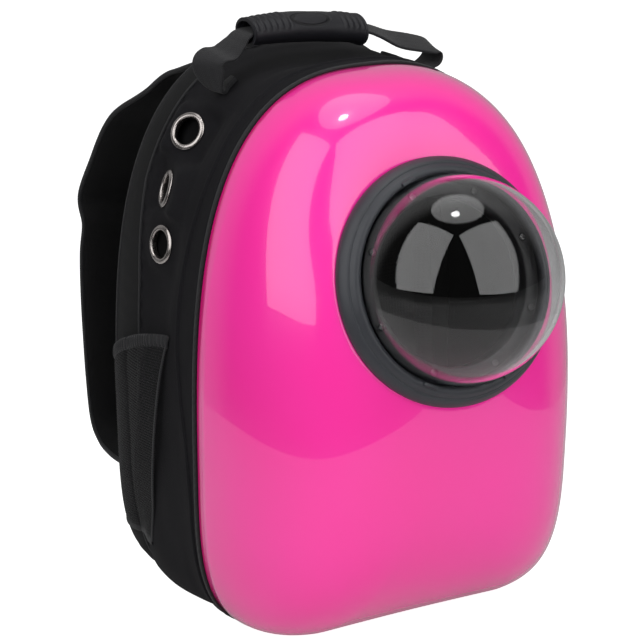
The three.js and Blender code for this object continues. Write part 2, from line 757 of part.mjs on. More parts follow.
// Net pocket: a creased net wall, open along its hem
function buildPocket(side) {
  const across = [0, 0.12, 0.3, 0.45, 0.6, 0.75, 0.9, 1];
  const upward = [0, 0.12, 0.3, 0.5, 0.7, 0.87, 0.955, 1];
  const place = (u, v) => {
    const y = mix(pocket.front, pocket.rear, u) * bodyDepth;
    const hem = mix(pocket.hemFront, pocket.hemRear, u ** 1.6);
    const z = mix(pocket.foot, hem, v) * bodyHeight;
    const crease = mix(pocketCrease.foot, pocketCrease.top, v);
    const tent = u < crease ? u / crease : (1 - u) / (1 - crease);
    const mouth = smooth(v) * Math.sin(Math.PI * u) ** 0.7;
    const puff = netPuff * (0.55 * tent * Math.sin(Math.PI * Math.min(v, 0.6)) + 1.0 * mouth);
    return { y, z, puff };
  };
  const wallPoint = (u, v, extra) => {
    const { y, z, puff } = place(u, v);
    const at = outlineAt(side * arcAtRise(z / bodyHeight));
    const out = outerOut(at.reach, y) + 2 * gap + puff + extra;
    return new THREE.Vector3(at.x + at.nx * out, y, z + at.nz * out);
  };
  const thickness = (v) => (v > 0.95 ? hemWall : netWall);
  const skin = new Skin();
  const inner = upward.map((v) => skin.loop(across.map((u) => wallPoint(u, v, 0))));
  const outer = upward.map((v) => skin.loop(across.map((u) => wallPoint(u, v, thickness(v)))));
  for (let row = 1; row < upward.length; row += 1) {
    skin.bridge(inner[row - 1], inner[row], false);
    skin.bridge(outer[row], outer[row - 1], false);
  }
  const edge = (rows) => [
    ...rows[0],
    ...rows.slice(1, -1).map((row) => row.at(-1)),
    ...rows.at(-1).slice().reverse(),
    ...rows.slice(1, -1).map((row) => row[0]).reverse(),
  ];
  skin.bridge(edge(outer), edge(inner));
  const name = side < 0 ? 'mesh_pocket_left' : 'mesh_pocket_right';
  add(name, skin.geometry(), blackNet);
}

// Flat strip swept along points; acrossOf gives the direction of its width at each of them
function strip(route, widthOf, wallOf, acrossOf, corners = 0) {
  const sections = route.map((point, i) => {
    const before = route[Math.max(0, i - 1)];
    const after = route[Math.min(route.length - 1, i + 1)];
    const along = after.clone().sub(before).normalize();
    const across = acrossOf(i);
    const wide = across.clone().addScaledVector(along, -across.dot(along)).normalize();
    const thick = new THREE.Vector3().crossVectors(along, wide);
    const [w, t] = [widthOf(i) / 2, wallOf(i) / 2];
    const c = Math.min(t * 0.8, corners);
    const cut = [
      [-w, -t + c], [-w + c, -t], [w - c, -t], [w, -t + c],
      [w, t - c], [w - c, t], [-w + c, t], [-w, t - c],
    ];
    const shape = corners > 0 ? cut : [[-w, -t], [w, -t], [w, t], [-w, t]];
    return shape.map(([a, b]) => point.clone().addScaledVector(wide, a).addScaledVector(thick, b));
  });
  return cappedTube(sections);
}

function heightAtWidth(x) {
  const i = halfOutline.findIndex((sample) => sample.point.x >= x);
  return halfOutline[i].point.y;
}

function buildHandle() {
  const lie = webbingWall / 2 + gap;
  const onCloth = (x) => {
    const at = outlineAt(arcAtRise(heightAtWidth(x) / bodyHeight));
    const edges = [-0.5, 0, 0.5].map((share) => panelOut(at.reach, handleDepth + share * webbingWidth));
    const out = Math.max(...edges) + lie;
    return [at.x + at.nx * out, at.z + at.nz * out];
  };
  const [farX, farZ] = onCloth(footFar);
  const endX = gripLength / 2;
  const gripCentre = (share) =>
    new THREE.Vector2(gripShift + endX * share,
      bodyHeight + gripRise - gripFall * share - gripArch * share ** 2);
  const half = (side, loop) => {
    const grip = gripCentre(side);
    const level = (x, z) => ({ x: side * x, z, lean: 0, twist: 0 });
    return [
      level(...onCloth(footNear)),
      level(...onCloth(mix(footNear, footFar, 0.5))),
      level(farX, farZ),
      ...loop.map(({ out, rise, lean, twist }) =>
        ({ x: side * mix(farX, loopReach, out), z: mix(farZ, grip.y, rise), lean, twist })),
      level(side * grip.x, grip.y),
      level(side * gripCentre(side / 2).x, gripCentre(side / 2).y),
    ];
  };
  const middle = { x: gripCentre(0).x, z: gripCentre(0).y, lean: 0, twist: 0 };
  const places = [...half(-1, leftLoop), middle, ...half(1, rightLoop).reverse()];
  const route = places.map(({ x, z }) => new THREE.Vector3(x, handleDepth, z));
  const acrossOf = (i) => {
    const lean = THREE.MathUtils.degToRad(places[i].lean);
    const twist = THREE.MathUtils.degToRad(places[i].twist);
    return new THREE.Vector3(-Math.sin(twist), Math.cos(twist), Math.sin(lean));
  };
  add('handle_webbing', strip(route, () => webbingWidth, () => webbingWall, acrossOf), blackCloth);

  const ellipse = (share, width, thickness) => Array.from({ length: gripSides }, (unused, i) => {
    const turn = (2 * Math.PI * i) / gripSides;
    const centre = gripCentre(share);
    const up = (thickness / 2) * Math.sin(turn);
    return new THREE.Vector3(centre.x, handleDepth + (width / 2) * Math.cos(turn), centre.y + up);
  });
  const shares = [-1, -0.5, 0, 0.5, 1];
  const outer = shares.map((share) => ellipse(share, gripWidth, gripThickness));
  const bore = shares.map((share) => ellipse(share, gripWidth - 2 * gripWall, gripThickness - 2 * gripWall));
  add('handle_grip', closedRing([...outer, ...bore.reverse()]), blackGrip);
}

function buildStrap(side) {
  const label = side < 0 ? 'left' : 'right';
  const behind = bodyDepth + panelPuff;
  const route = strapRoute.map((row) => new THREE.Vector3(
    side * row.out * strapSpread, behind + row.back * strapBow, row.rise * bodyHeight));
  const sideways = () => new THREE.Vector3(1, 0, 0);
  const width = (i) => strapRoute[i].wide * strapWidth;
  const wall = (i) => strapRoute[i].thick * strapThickness;
  add(`shoulder_strap_${label}`, strip(route, width, wall, sideways, strapCorner), blackCloth);

  const end = route.at(-1);
  const lockStart = end.clone().add(new THREE.Vector3(0, -3 * gap, 0));
  const anchor = new THREE.Vector3(end.x, behind + 2 * gap, anchorHeight);
  const toAnchor = anchor.clone().sub(lockStart).normalize();
  const lockEnd = lockStart.clone().addScaledVector(toAnchor, lockLength);
  const frame = toSolid(strip([lockStart, lockEnd], () => lockWidth, () => lockThickness, sideways));
  const slotLength = (lockLength - 3 * lockBar) / 2;
  const slots = [0, 1].map((i) => {
    const from = lockBar + i * (slotLength + lockBar);
    const ends = [from, from + slotLength].map((d) => lockStart.clone().addScaledVector(toAnchor, d));
    return toSolid(strip(ends, () => lockWidth - 2 * lockBar, () => lockThickness * 3, sideways));
  });
  add(`ladder_lock_${label}`, toGeometry(frame.subtract(slots[0]).subtract(slots[1])), blackPlastic);

  const tapeStart = lockEnd.clone().addScaledVector(toAnchor, gap);
  const tape = strip([tapeStart, tapeStart.clone().lerp(anchor, 0.5), anchor],
    () => tapeWidth, () => tapeWall, sideways);
  add(`strap_tape_${label}`, tape, blackCloth);
}

add('shell', buildShell(), pinkGloss);
buildWindow();
buildCloth();
buildBackPanel();
buildEyelets();
buildPocket(-1);
buildPocket(1);
buildHandle();
buildStrap(-1);
buildStrap(1);

export default carrier;
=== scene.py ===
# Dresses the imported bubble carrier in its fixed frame: shell, window, cloth, net, straps and handle.
# Metres, +Z up, the front faces -Y. The origin is the middle of the flat base.
import math

import bpy
import numpy as np
from mathutils import Matrix, Vector, noise


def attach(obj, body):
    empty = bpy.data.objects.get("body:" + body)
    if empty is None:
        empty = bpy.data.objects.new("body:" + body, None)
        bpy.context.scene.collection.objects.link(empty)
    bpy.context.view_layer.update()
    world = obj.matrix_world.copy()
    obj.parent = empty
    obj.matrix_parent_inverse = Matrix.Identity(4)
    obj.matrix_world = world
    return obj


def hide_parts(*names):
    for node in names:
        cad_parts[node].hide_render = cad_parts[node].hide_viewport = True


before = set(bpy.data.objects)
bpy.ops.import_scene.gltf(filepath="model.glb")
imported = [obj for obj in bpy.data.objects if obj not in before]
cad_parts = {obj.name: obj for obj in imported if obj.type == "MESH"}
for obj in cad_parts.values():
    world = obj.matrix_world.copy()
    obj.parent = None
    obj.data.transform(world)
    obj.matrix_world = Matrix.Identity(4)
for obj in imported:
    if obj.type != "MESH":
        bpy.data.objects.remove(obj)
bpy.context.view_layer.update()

# Body
BODY_HEIGHT = 0.410
BODY_WIDTH = 0.279
BODY_DEPTH = 0.132
WIDEST_HEIGHT = 0.122
BASE_TRIM = 0.0015
CROWN_ACROSS, CROWN_UP = 2.62, 3.08
FOOT_ACROSS, FOOT_UP = 6.1, 3.08
OUTLINE_STEPS = 400
RIM_Y = -BODY_DEPTH / 2
GAP = 0.0003

# Front shell
SHELL_DEPTH = 0.126
SHELL_WALL = 0.0026
POLE_HEIGHT = 0.175
SHELL_SIDE = (4.1, 2.0)
SHELL_CROWN = (2.2, 2.84)
SHELL_FOOT = (3.1, 2.0)
LIP_REACH = 0.0065
LIP_INSET = 0.0010

# Bubble window
RING_HEIGHT = 0.278
RING_FORWARD = 0.108
RING_TILT = 18.5
RING_RADIUS = 0.086
DOME_RADIUS = 0.072
DOME_WALL = 0.0024
DOME_LIFT = 0.017
LEDGE_RADIUS = 0.059
LEDGE_RISE = 0.011
GROOVE_FLOOR = 0.004
SHELL_HOLE_RADIUS = 0.063
SEAT_RADIUS = 0.0864
SEAT_REACH = (0.050, 0.125)
SCREW_COUNT = 8
SCREW_TURN = -25.0
SCREW_RADIUS = 0.0027
TAB_TURNS = (110.0, -117.0, -67.0)

# Cloth
CLOTH_WALL = 0.0014
BINDING_DEPTH = 0.0046
WELT_WIDTH = 0.004
WELT_RISE = 0.0016
BAND_WALL = 0.007
BAND_PUFF = 0.003
FOLD_HEIGHT = 0.007
WELT_LINE = [(1.0, 0.165), (0.84, 0.168), (0.71, 0.22), (0.6, 0.252), (0.52, 0.25),
             (0.43, 0.2), (0.36, 0.145), (0.25, 0.1), (0.0, 0.085)]
BAND_LINE = [(1.0, 0.83), (0.78, 0.83), (0.6, 0.72), (0.5, 0.7), (0.3, 0.74), (0.0, 0.84)]
# Dents: rise, depth, half-width along, half-width across, push
DENTS = [(1.0, 0.38, 0.3, 0.62, -1.0), (0.89, 0.3, 0.2, 0.34, -0.45),
         (0.6, 0.42, 0.22, 0.4, -0.3), (0.06, 0.52, 0.22, 0.5, 1.1)]
# Eyelets: name, rise, depth, turn in degrees
EYELETS = [("upper", 0.876, 0.585, 24.0), ("middle", 0.779, 0.58, -15.0), ("lower", 0.685, 0.525, 7.0)]
EYELET_HOLE = 0.010
EYELET_RADIUS = 0.0142
EYELET_PAD = 0.014
EYELET_FADE = 0.012

# Net pockets, in shares of depth and height
POCKET_FRONT, POCKET_REAR, POCKET_FOOT = 0.33, 0.985, 0.12
HEM_FRONT, HEM_REAR = 0.535, 0.455
CREASE_FOOT, CREASE_TOP = 0.75, 0.2
NET_PUFF = 0.007
POCKET_SLANT = 0.40
NET_PITCH = 0.0022

# Handle: each loop's rows are out and rise as shares, and the webbing's lean and twist in degrees
HANDLE_Y = RIM_Y + 0.065
WEBBING_WIDTH = 0.025
WEBBING_WALL = 0.0026
GRIP_LENGTH, GRIP_WIDTH, GRIP_THICKNESS = 0.092, 0.032, 0.022
GRIP_SHIFT, GRIP_RISE, GRIP_FALL, GRIP_ARCH = -0.015, 0.0186, 0.0031, 0.0032
GRIP_GIRTH = 0.086
OVAL_PLACE, OVAL_SIZE = (0.0010, 0.0106), (0.0148, 0.0066)
FOOT_NEAR, FOOT_FAR, LOOP_REACH = 0.058, 0.079, 0.097
FOOT_TUCKED, FOLD_LENGTH = 0.068, 0.034
LEFT_LOOP = [(0.28, 0.06, 0, 14), (0.56, 0.285, 0, 30), (0.67, 0.51, 4, 36),
             (0.39, 0.635, 10, 30), (-0.17, 0.68, 12, 18), (-0.61, 0.83, 8, 6)]
RIGHT_LOOP = [(0.4, 0.04, 0, 0), (0.85, 0.15, 8, 0), (1, 0.32, 16, 0), (0.85, 0.45, 22, 0),
              (0.05, 0.565, 25, 0), (-1.05, 0.7, 24, 0), (-2.1, 0.93, 14, 0)]

# Shoulder straps: out, back, rise, wide, thick, each a share
BACK_FACE = RIM_Y + BODY_DEPTH + 0.002
STRAP_SPREAD, STRAP_BOW, STRAP_WIDTH, STRAP_THICKNESS = 0.087, 0.110, 0.064, 0.013
STRAP_ROUTE = [
    (0.4, 0.006, 0.956, 0.8, 0.4), (0.4, 0.04, 0.956, 0.8, 0.4), (0.44, 0.15, 0.95, 0.8, 0.45),
    (0.55, 0.33, 0.922, 0.84, 0.65), (0.69, 0.47, 0.883, 0.9, 0.9), (0.83, 0.62, 0.845, 0.97, 1),
    (0.9, 0.71, 0.812, 1, 1), (0.95, 0.83, 0.755, 1, 1), (0.995, 0.99, 0.675, 1, 1),
    (0.985, 0.955, 0.62, 1, 0.9), (1, 0.985, 0.56, 1, 1), (1, 1, 0.48, 1, 1), (1, 0.99, 0.4, 1, 1),
    (1, 0.975, 0.3, 0.98, 1), (1, 0.94, 0.222, 0.95, 1), (1, 0.83, 0.186, 0.92, 1),
    (1.02, 0.64, 0.176, 0.88, 0.95), (1.02, 0.44, 0.174, 0.84, 0.8)]

# Camera, found from the photograph
CAMERA_YAW, CAMERA_PITCH, CAMERA_ROLL = -29.218, 17.469, -0.359
CAMERA_TARGET = Vector((-0.0380, RIM_Y, 0.2274))
CAMERA_DISTANCE = 1.6415
CAMERA_LENS = 128.1

# Studio: brightness of each light, and the table's reach round the object
PANEL_GLOW, OVERHEAD_GLOW, LAMP_GLOW = 1.9, 1.1, 13.0
FLOOR_GLOW, TABLE_RADIUS = 0.10, 0.60
ROOM_GLOW, BACKDROP_GLOW, FILL_GLOW = 0.04, 0.35, 1.4
BACKDROP_SIDE = (0.49, 0.87, 0.0)


# Small maths
def clamp01(value):
    return min(1.0, max(0.0, value))


def smooth(value):
    value = clamp01(value)
    return value * value * (3 - 2 * value)


def bump(value):
    return 0.5 * (1 + math.cos(math.pi * value)) if abs(value) < 1 else 0.0


def mix(a, b, t):
    return a + (b - a) * t


def read_table(table, rise):
    rises, values = zip(*reversed(table))
    return float(np.interp(rise, rises, values))


# Outline of the body, by arc length from the crown: negative arcs are on the left
def half_outline():
    radius = BODY_WIDTH / 2
    crown = BODY_HEIGHT + BASE_TRIM - WIDEST_HEIGHT
    points = []
    for i in range(OUTLINE_STEPS + 1):
        turn = math.pi / 2 * i / OUTLINE_STEPS
        across = math.sin(turn) ** (2 / CROWN_ACROSS)
        up = abs(math.cos(turn)) ** (2 / CROWN_UP)
        points.append((radius * across, WIDEST_HEIGHT + crown * up))
    for i in range(1, OUTLINE_STEPS + 1):
        up = 1 - (1 - i / OUTLINE_STEPS) ** 2
        across = max(0.0, 1 - up ** FOOT_UP) ** (1 / FOOT_ACROSS)
        points.append((radius * across, WIDEST_HEIGHT * (1 - up)))
    points = [(x, max(0.0, z - BASE_TRIM)) for x, z in points] + [(0.0, 0.0)]
    line = np.array(points)
    reach = np.concatenate([[0], np.cumsum(np.hypot(*np.diff(line, axis=0).T))])
    return line, reach


LINE, REACH = half_outline()
HALF = float(REACH[-1])


def outline(arc):
    """Point and outward normal of the outline, as x, z, nx, nz."""
    side = -1 if arc < 0 else 1
    reach = min(abs(arc), HALF)
    step = 0.0015
    low, high = max(0.0, reach - step), min(HALF, reach + step)
    x, z = np.interp(reach, REACH, LINE[:, 0]), np.interp(reach, REACH, LINE[:, 1])
    dx = np.interp(high, REACH, LINE[:, 0]) - np.interp(low, REACH, LINE[:, 0])
    dz = np.interp(high, REACH, LINE[:, 1]) - np.interp(low, REACH, LINE[:, 1])
    length = math.hypot(dx, dz)
    return side * x, z, side * -dz / length, dx / length


def arc_at_rise(rise):
    below = np.nonzero(LINE[:, 1] <= rise * BODY_HEIGHT)[0]
    return float(REACH[below[0]]) if len(below) else HALF


EYELET_PLACES = [(name, arc_at_rise(rise), depth * BODY_DEPTH, math.radians(turn))
                 for name, rise, depth, turn in EYELETS]
DENT_PLACES = [(arc_at_rise(rise), depth * BODY_DEPTH, along * BODY_WIDTH, across * BODY_DEPTH, push)
               for rise, depth, along, across, push in DENTS]


def dents(reach, y):
    return sum(push * FOLD_HEIGHT * bump((reach - arc) / along) * bump((y - depth) / across)
               for arc, depth, along, across, push in DENT_PLACES)


def cloth_out(reach, y):
    out = dents(reach, y)
    for _, arc, depth, turn in EYELET_PLACES:
        near = 1 - smooth((abs(reach - arc) - EYELET_PAD) / EYELET_FADE)
        near *= 1 - smooth((abs(y - depth) - EYELET_PAD) / (2 * EYELET_FADE))
        out = out * (1 - near) + near * (dents(arc, depth) + math.tan(turn) * (y - depth))
    return out


def rise_of(reach):
    return float(np.interp(reach, REACH, LINE[:, 1])) / BODY_HEIGHT


def welt_at(reach):
    return read_table(WELT_LINE, rise_of(reach)) * BODY_DEPTH


def band_at(reach):
    return read_table(BAND_LINE, rise_of(reach)) * BODY_DEPTH


def fade_at_ends(y, start, end, length):
    return smooth((y - start) / length) * smooth((end - y) / length)


def panel_out(reach, y):
    return cloth_out(reach, y) * fade_at_ends(y, welt_at(reach), band_at(reach), BODY_DEPTH * 0.16)


def outer_out(reach, y):
    start = band_at(reach)
    if y <= start:
        return panel_out(reach, y)
    return BAND_PUFF * math.sin(math.pi * clamp01((y - start) / (BODY_DEPTH - start))) ** 0.6


def base_hold(reach):
    return smooth((HALF - reach) / (BODY_WIDTH * 0.3) - 0.6)


def on_body(arc, y, out):
    """Point of the cloth at an arc, a depth behind the rim and a distance out from the outline."""
    x, z, nx, nz = outline(arc)
    return Vector((x + nx * out, RIM_Y + y, max(0.0, z + nz * out)))


def wrinkle(point, size, seed):
    return noise.noise(Vector(point) / size + Vector((seed, seed * 1.7, seed * 0.3)))


# Window place
WINDOW_AXIS = Vector((0, -math.cos(math.radians(RING_TILT)), math.sin(math.radians(RING_TILT))))
WINDOW_UP = Vector((0, math.sin(math.radians(RING_TILT)), math.cos(math.radians(RING_TILT))))
WINDOW_CENTRE = Vector((0, RIM_Y - RING_FORWARD, RING_HEIGHT))
WINDOW_PLACE = Matrix.Translation(WINDOW_CENTRE) @ Matrix(
    (Vector((1, 0, 0)), WINDOW_UP, WINDOW_AXIS)).transposed().to_4x4()


def free_shell_point(arc, climb, lip=True):
    """Point of the shell's outer face without its window: climb runs from 0 at the rim to 1 at the pole."""
    x, z, nx, nz = outline(arc)
    dz = z - POLE_HEIGHT
    side = x * x / (x * x + dz * dz)
    end = SHELL_CROWN if dz > 0 else SHELL_FOOT
    inward, forward = mix(end[0], SHELL_SIDE[0], side), mix(end[1], SHELL_SIDE[1], side)
    phi = math.pi / 2 * climb
    shrink = abs(math.cos(phi)) ** (2 / inward) if climb < 1 else 0.0
    depth = SHELL_DEPTH * math.sin(phi) ** (2 / forward)
    point = Vector((x * shrink, RIM_Y - depth, POLE_HEIGHT + dz * shrink))
    if lip:
        inset = LIP_INSET * (1 - smooth((depth - LIP_REACH) / 0.003))
        point -= Vector((nx, 0, nz)) * inset
        point.z = max(0.0, point.z)
    return point


def free_shell_depth(x, z):
    """y of the free shell's outer face at a place seen from the front."""
    bearing = math.atan2(abs(x), z - POLE_HEIGHT)
    low, high = 0.0, HALF
    for _ in range(20):
        arc = (low + high) / 2
        rim_x, rim_z = outline(arc)[:2]
        low, high = (arc, high) if math.atan2(rim_x, rim_z - POLE_HEIGHT) < bearing else (low, arc)
    share = min(1.0, math.hypot(x, z - POLE_HEIGHT) / math.hypot(rim_x, rim_z - POLE_HEIGHT))
    end = SHELL_CROWN if z > POLE_HEIGHT else SHELL_FOOT
    inward = mix(end[0], SHELL_SIDE[0], math.sin(bearing) ** 2)
    return free_shell_point(arc, math.acos(share ** (inward / 2)) * 2 / math.pi, False).y


def seat_height(turn):
    """How far the free shell stands over the edge of the window's seat, from the foot's side up."""
    edge = WINDOW_CENTRE + (Vector((math.cos(turn), 0, 0)) + WINDOW_UP * math.sin(turn)) * SEAT_RADIUS
    height = 0.0
    for _ in range(12):
        point = edge + WINDOW_AXIS * height
        height += 0.9 * (free_shell_depth(point.x, point.z) - point.y) * WINDOW_AXIS.y
    return height


SEAT_TURNS = np.linspace(-math.pi / 2, math.pi / 2, 25)
SEAT_HEIGHTS = [seat_height(turn) for turn in SEAT_TURNS]


def shell_point(arc, climb, lip=True):
    """Point of the shell's outer face with the window's seat pressed in."""
    point = free_shell_point(arc, climb, lip)
    if climb <= 0:
        return point
    foot = point - WINDOW_AXIS * (point - WINDOW_CENTRE).dot(WINDOW_AXIS)
    away = (foot - WINDOW_CENTRE).length
    if away < SEAT_RADIUS:
        return foot
    sine = min(1.0, max(-1.0, (foot - WINDOW_CENTRE).dot(WINDOW_UP) / away))
    reach = mix(*SEAT_REACH, smooth(-sine))
    fade = max(0.0, 1 - (away - SEAT_RADIUS) / reach) ** 2
    return point - WINDOW_AXIS * fade * float(np.interp(math.asin(sine), SEAT_TURNS, SEAT_HEIGHTS))


# Modelling helpers, each one a few of Blender's own tools
def deselect():
    if bpy.context.mode != "OBJECT":
        bpy.ops.object.mode_set(mode="OBJECT")
    bpy.ops.object.select_all(action="DESELECT")


def use(piece):
    deselect()
    piece.select_set(True)
    bpy.context.view_layer.objects.active = piece
    return piece


def primitive(name, operator, **settings):
    deselect()
    operator(**settings)
    piece = bpy.context.object
    piece.name = name
    return piece


def edit(piece, choose="SELECT"):
    use(piece)
    bpy.ops.object.mode_set(mode="EDIT")
    bpy.ops.mesh.select_mode(type="VERT")
    bpy.ops.mesh.select_all(action=choose)


def done():
    bpy.ops.object.mode_set(mode="OBJECT")


def modify(piece, kind, **settings):
    use(piece)
    modifier = piece.modifiers.new(kind.title(), kind)
    for key, value in settings.items():
        setattr(modifier, key, value)
    bpy.ops.object.modifier_apply(modifier=modifier.name)


def weld(piece, distance=1e-5):
    edit(piece)
    bpy.ops.mesh.remove_doubles(threshold=distance)
    done()


def flip(piece):
    edit(piece)
    bpy.ops.mesh.flip_normals()
    done()


def face_out(piece):
    edit(piece)
    bpy.ops.mesh.normals_make_consistent(inside=False)
    done()


def smooth_faces(piece, angle=40):
    use(piece)
    bpy.ops.object.shade_smooth_by_angle(angle=math.radians(angle))


def select_vertices(piece, wanted):
    edit(piece, "DESELECT")
    done()
    for vertex in piece.data.vertices:
        vertex.select = wanted(vertex.co)
    bpy.ops.object.mode_set(mode="EDIT")


def cloth_grid(name, across, along, place):
    """A grid laid by place(u, v), which gives a point and its flat place on the cloth in metres."""
    piece = primitive(name, bpy.ops.mesh.primitive_grid_add,
                      x_subdivisions=across, y_subdivisions=along, size=2)
    flat = []
    for vertex in piece.data.vertices:
        point, lay = place((vertex.co.x + 1) / 2, (vertex.co.y + 1) / 2)
        vertex.co = point
        flat.append(lay)
    layer = piece.data.uv_layers.active.data
    for loop in piece.data.loops:
        layer[loop.index].uv = flat[loop.vertex_index]
    weld(piece)
    return piece


def body_grid(name, around, along, place):
    """A grid round the whole body, laid by place(arc, reach, v); reach is the arc without its sign."""
    return cloth_grid(name, around, along, lambda u, v: place((2 * u - 1) * HALF, abs(2 * u - 1) * HALF, v))


def copy_of(piece, name, place):
    copy = bpy.data.objects.new(name, piece.data.copy())
    bpy.context.scene.collection.objects.link(copy)
    copy.data.transform(place)
    return copy


def lathe(name, profile, sides, closed=True, place=WINDOW_PLACE):
    """Turns (radius, height) pairs about Z: a circle is extruded, sized and lifted step by step."""
    radius, height = profile[0]
    piece = primitive(name, bpy.ops.mesh.primitive_circle_add,
                      vertices=sides, radius=radius, location=(0, 0, height))
    bpy.ops.object.transform_apply(location=True)
    edit(piece)
    for next_radius, next_height in list(profile[1:]) + ([profile[0]] if closed else []):
        bpy.ops.mesh.extrude_edges_move(
            TRANSFORM_OT_translate={"value": (0, 0, next_height - height)})
        scale = next_radius / radius
        bpy.ops.transform.resize(value=(scale, scale, 1), center_override=(0, 0, next_height))
        radius, height = next_radius, next_height
    done()
    weld(piece, 2e-6)
    face_out(piece)
    piece.data.transform(place)
    return piece


def rounded(profile, share=0.3):
    """Cuts each corner of a closed profile, so its turned edges are soft."""
    count = len(profile)
    soft = []
    for i, (r, h) in enumerate(profile):
        before, after = profile[i - 1], profile[(i + 1) % count]
        reach = min(math.hypot(r - before[0], h - before[1]), math.hypot(r - after[0], h - after[1]))
        cut = min(share * reach, 0.0012)
        for other in (before, after):
            length = math.hypot(other[0] - r, other[1] - h)
            soft.append((mix(r, other[0], cut / length), mix(h, other[1], cut / length)))
        middle = len(soft) - 1
        a, b = soft[middle - 1], soft[middle]
        soft.insert(middle, (mix((a[0] + b[0]) / 2, r, 0.35), mix((a[1] + b[1]) / 2, h, 0.35)))
    return soft


def path_through(rows, count):
    """Even rows along a smooth curve, from rows that start with x, y and z; each gets its length so far."""
    rows = np.array(rows, float)
    ends = np.vstack([2 * rows[0] - rows[1], rows, 2 * rows[-1] - rows[-2]])
    fine = []
    for i in range(1, len(ends) - 2):
        a, b, c, d = ends[i - 1:i + 3]
        for step in range(12):
            t = step / 12
            fine.append(0.5 * (2 * b + (c - a) * t + (2 * a - 5 * b + 4 * c - d) * t * t
                               + (3 * b - a - 3 * c + d) * t ** 3))
    fine.append(rows[-1])
    line = np.array(fine)
    reach = np.concatenate([[0], np.cumsum(np.linalg.norm(np.diff(line[:, :3], axis=0), axis=1))])
    at = np.linspace(0, reach[-1], count)
    even = [np.interp(at, reach, line[:, k]) for k in range(rows.shape[1])]
    return np.stack([*even, at], 1)


def sweep(name, rows, section, across_of, around):
    """Sweeps section(turn, row) along a path; across_of(row) is the direction of its width."""
    frames = []
    spots = [Vector(row[:3]) for row in rows]
    for i, point in enumerate(spots):
        along = (spots[min(i + 1, len(spots) - 1)] - spots[max(i - 1, 0)]).normalized()
        across = across_of(rows[i])
        wide = (across - along * across.dot(along)).normalized()
        frames.append((point, wide, along.cross(wide)))

    def place(u, v):
        i = round(v * (len(rows) - 1))
        point, wide, thick = frames[i]
        a, b = section(u, rows[i])
        return point + wide * a + thick * b, (a, rows[i][-1])

    piece = cloth_grid(name, around, len(rows) - 1, place)
    edit(piece, "DESELECT")
    bpy.ops.mesh.select_mode(type="EDGE")
    bpy.ops.mesh.select_non_manifold(extend=False)
    bpy.ops.mesh.fill_holes(sides=0)
    done()
    face_out(piece)
    return piece


def joined(name, pieces):
    deselect()
    for piece in pieces:
        piece.select_set(True)
    bpy.context.view_layer.objects.active = pieces[0]
    bpy.ops.object.join()
    pieces[0].name = name
    return pieces[0]


def cut_away(piece, cutter):
    modify(piece, "BOOLEAN", operation="DIFFERENCE", object=cutter, solver="EXACT")
    bpy.data.objects.remove(cutter)


def wear(piece, material, slot, *nodes, angle=40):
    """Gives a finished piece its material and hides the CAD nodes that it stands for; slot is not used."""
    smooth_faces(piece, angle)
    piece.data.materials.clear()
    piece.data.materials.append(material)
    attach(piece, "root")
    if nodes:
        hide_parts(*nodes)
    return piece


# Shader helpers
class Wire:
    """A value in a material; arithmetic on it adds Math nodes."""

    def __init__(self, paint, socket):
        self.paint, self.socket = paint, socket

    def __add__(self, other):
        return self.paint.maths("ADD", self, other)

    def __sub__(self, other):
        return self.paint.maths("SUBTRACT", self, other)

    def __rsub__(self, other):
        return self.paint.maths("SUBTRACT", other, self)

    def __mul__(self, other):
        return self.paint.maths("MULTIPLY", self, other)

    def __truediv__(self, other):
        return self.paint.maths("DIVIDE", self, other)

    def __pow__(self, other):
        return self.paint.maths("POWER", self, other)

    __radd__, __rmul__ = __add__, __mul__


class Paint:
    """One material: constants go on its shader, and node() adds everything else."""

    def __init__(self, name, **constants):
        self.material = bpy.data.materials.new(name)
        self.material.use_nodes = True
        self.tree = self.material.node_tree
        self.shader = self.tree.nodes["Principled BSDF"]
        for key, value in constants.items():
            self.shader.inputs[key.replace("_", " ")].default_value = value

    def node(self, kind, settings=None, inputs=None, out=0):
        node = self.tree.nodes.new("ShaderNode" + kind)
        for key, value in (settings or {}).items():
            setattr(node, key, value)
        for key, value in (inputs or {}).items():
            self.connect(value, node.inputs[key])
        return Wire(self, node.outputs[out])

    def connect(self, value, socket):
        if isinstance(value, Wire):
            self.tree.links.new(value.socket, socket)
        elif socket.type == "RGBA":
            socket.default_value = (*value[:3], 1.0)
        else:
            socket.default_value = value

    def maths(self, operation, *values):
        return self.node("Math", {"operation": operation}, dict(enumerate(values)))

    def sine(self, value):
        return self.maths("SINE", value)

    def size(self, value):
        return self.maths("ABSOLUTE", value)

    def step(self, value, low, high):
        inputs = {"Value": value, "From Min": low, "From Max": high}
        return self.node("MapRange", {"interpolation_type": "SMOOTHSTEP"}, inputs)

    def space(self):
        return self.node("TexCoord", out=3)

    def flat(self):
        return self.node("UVMap")

    def split(self, vector):
        parts = self.node("SeparateXYZ", inputs={"Vector": vector})
        return [Wire(self, parts.socket.node.outputs[i]) for i in range(3)]

    def moved(self, vector, scale=(1, 1, 1), location=(0, 0, 0), rotation=(0, 0, 0)):
        inputs = {"Vector": vector, "Scale": scale, "Location": location, "Rotation": rotation}
        return self.node("Mapping", inputs=inputs)

    def noise(self, vector, scale, detail=2.0, roughness=0.5):
        inputs = {"Vector": vector, "Scale": scale, "Detail": detail, "Roughness": roughness}
        return self.node("TexNoise", inputs=inputs)

    def blend(self, factor, a, b):
        return self.node("Mix", {"data_type": "RGBA"}, {0: factor, 6: a, 7: b}, out=2)

    def feed(self, name, value):
        self.connect(value, self.shader.inputs[name])

    def raise_by(self, height, distance, strength=1.0):
        inputs = {"Height": height, "Distance": distance, "Strength": strength}
        self.feed("Normal", self.node("Bump", inputs=inputs))


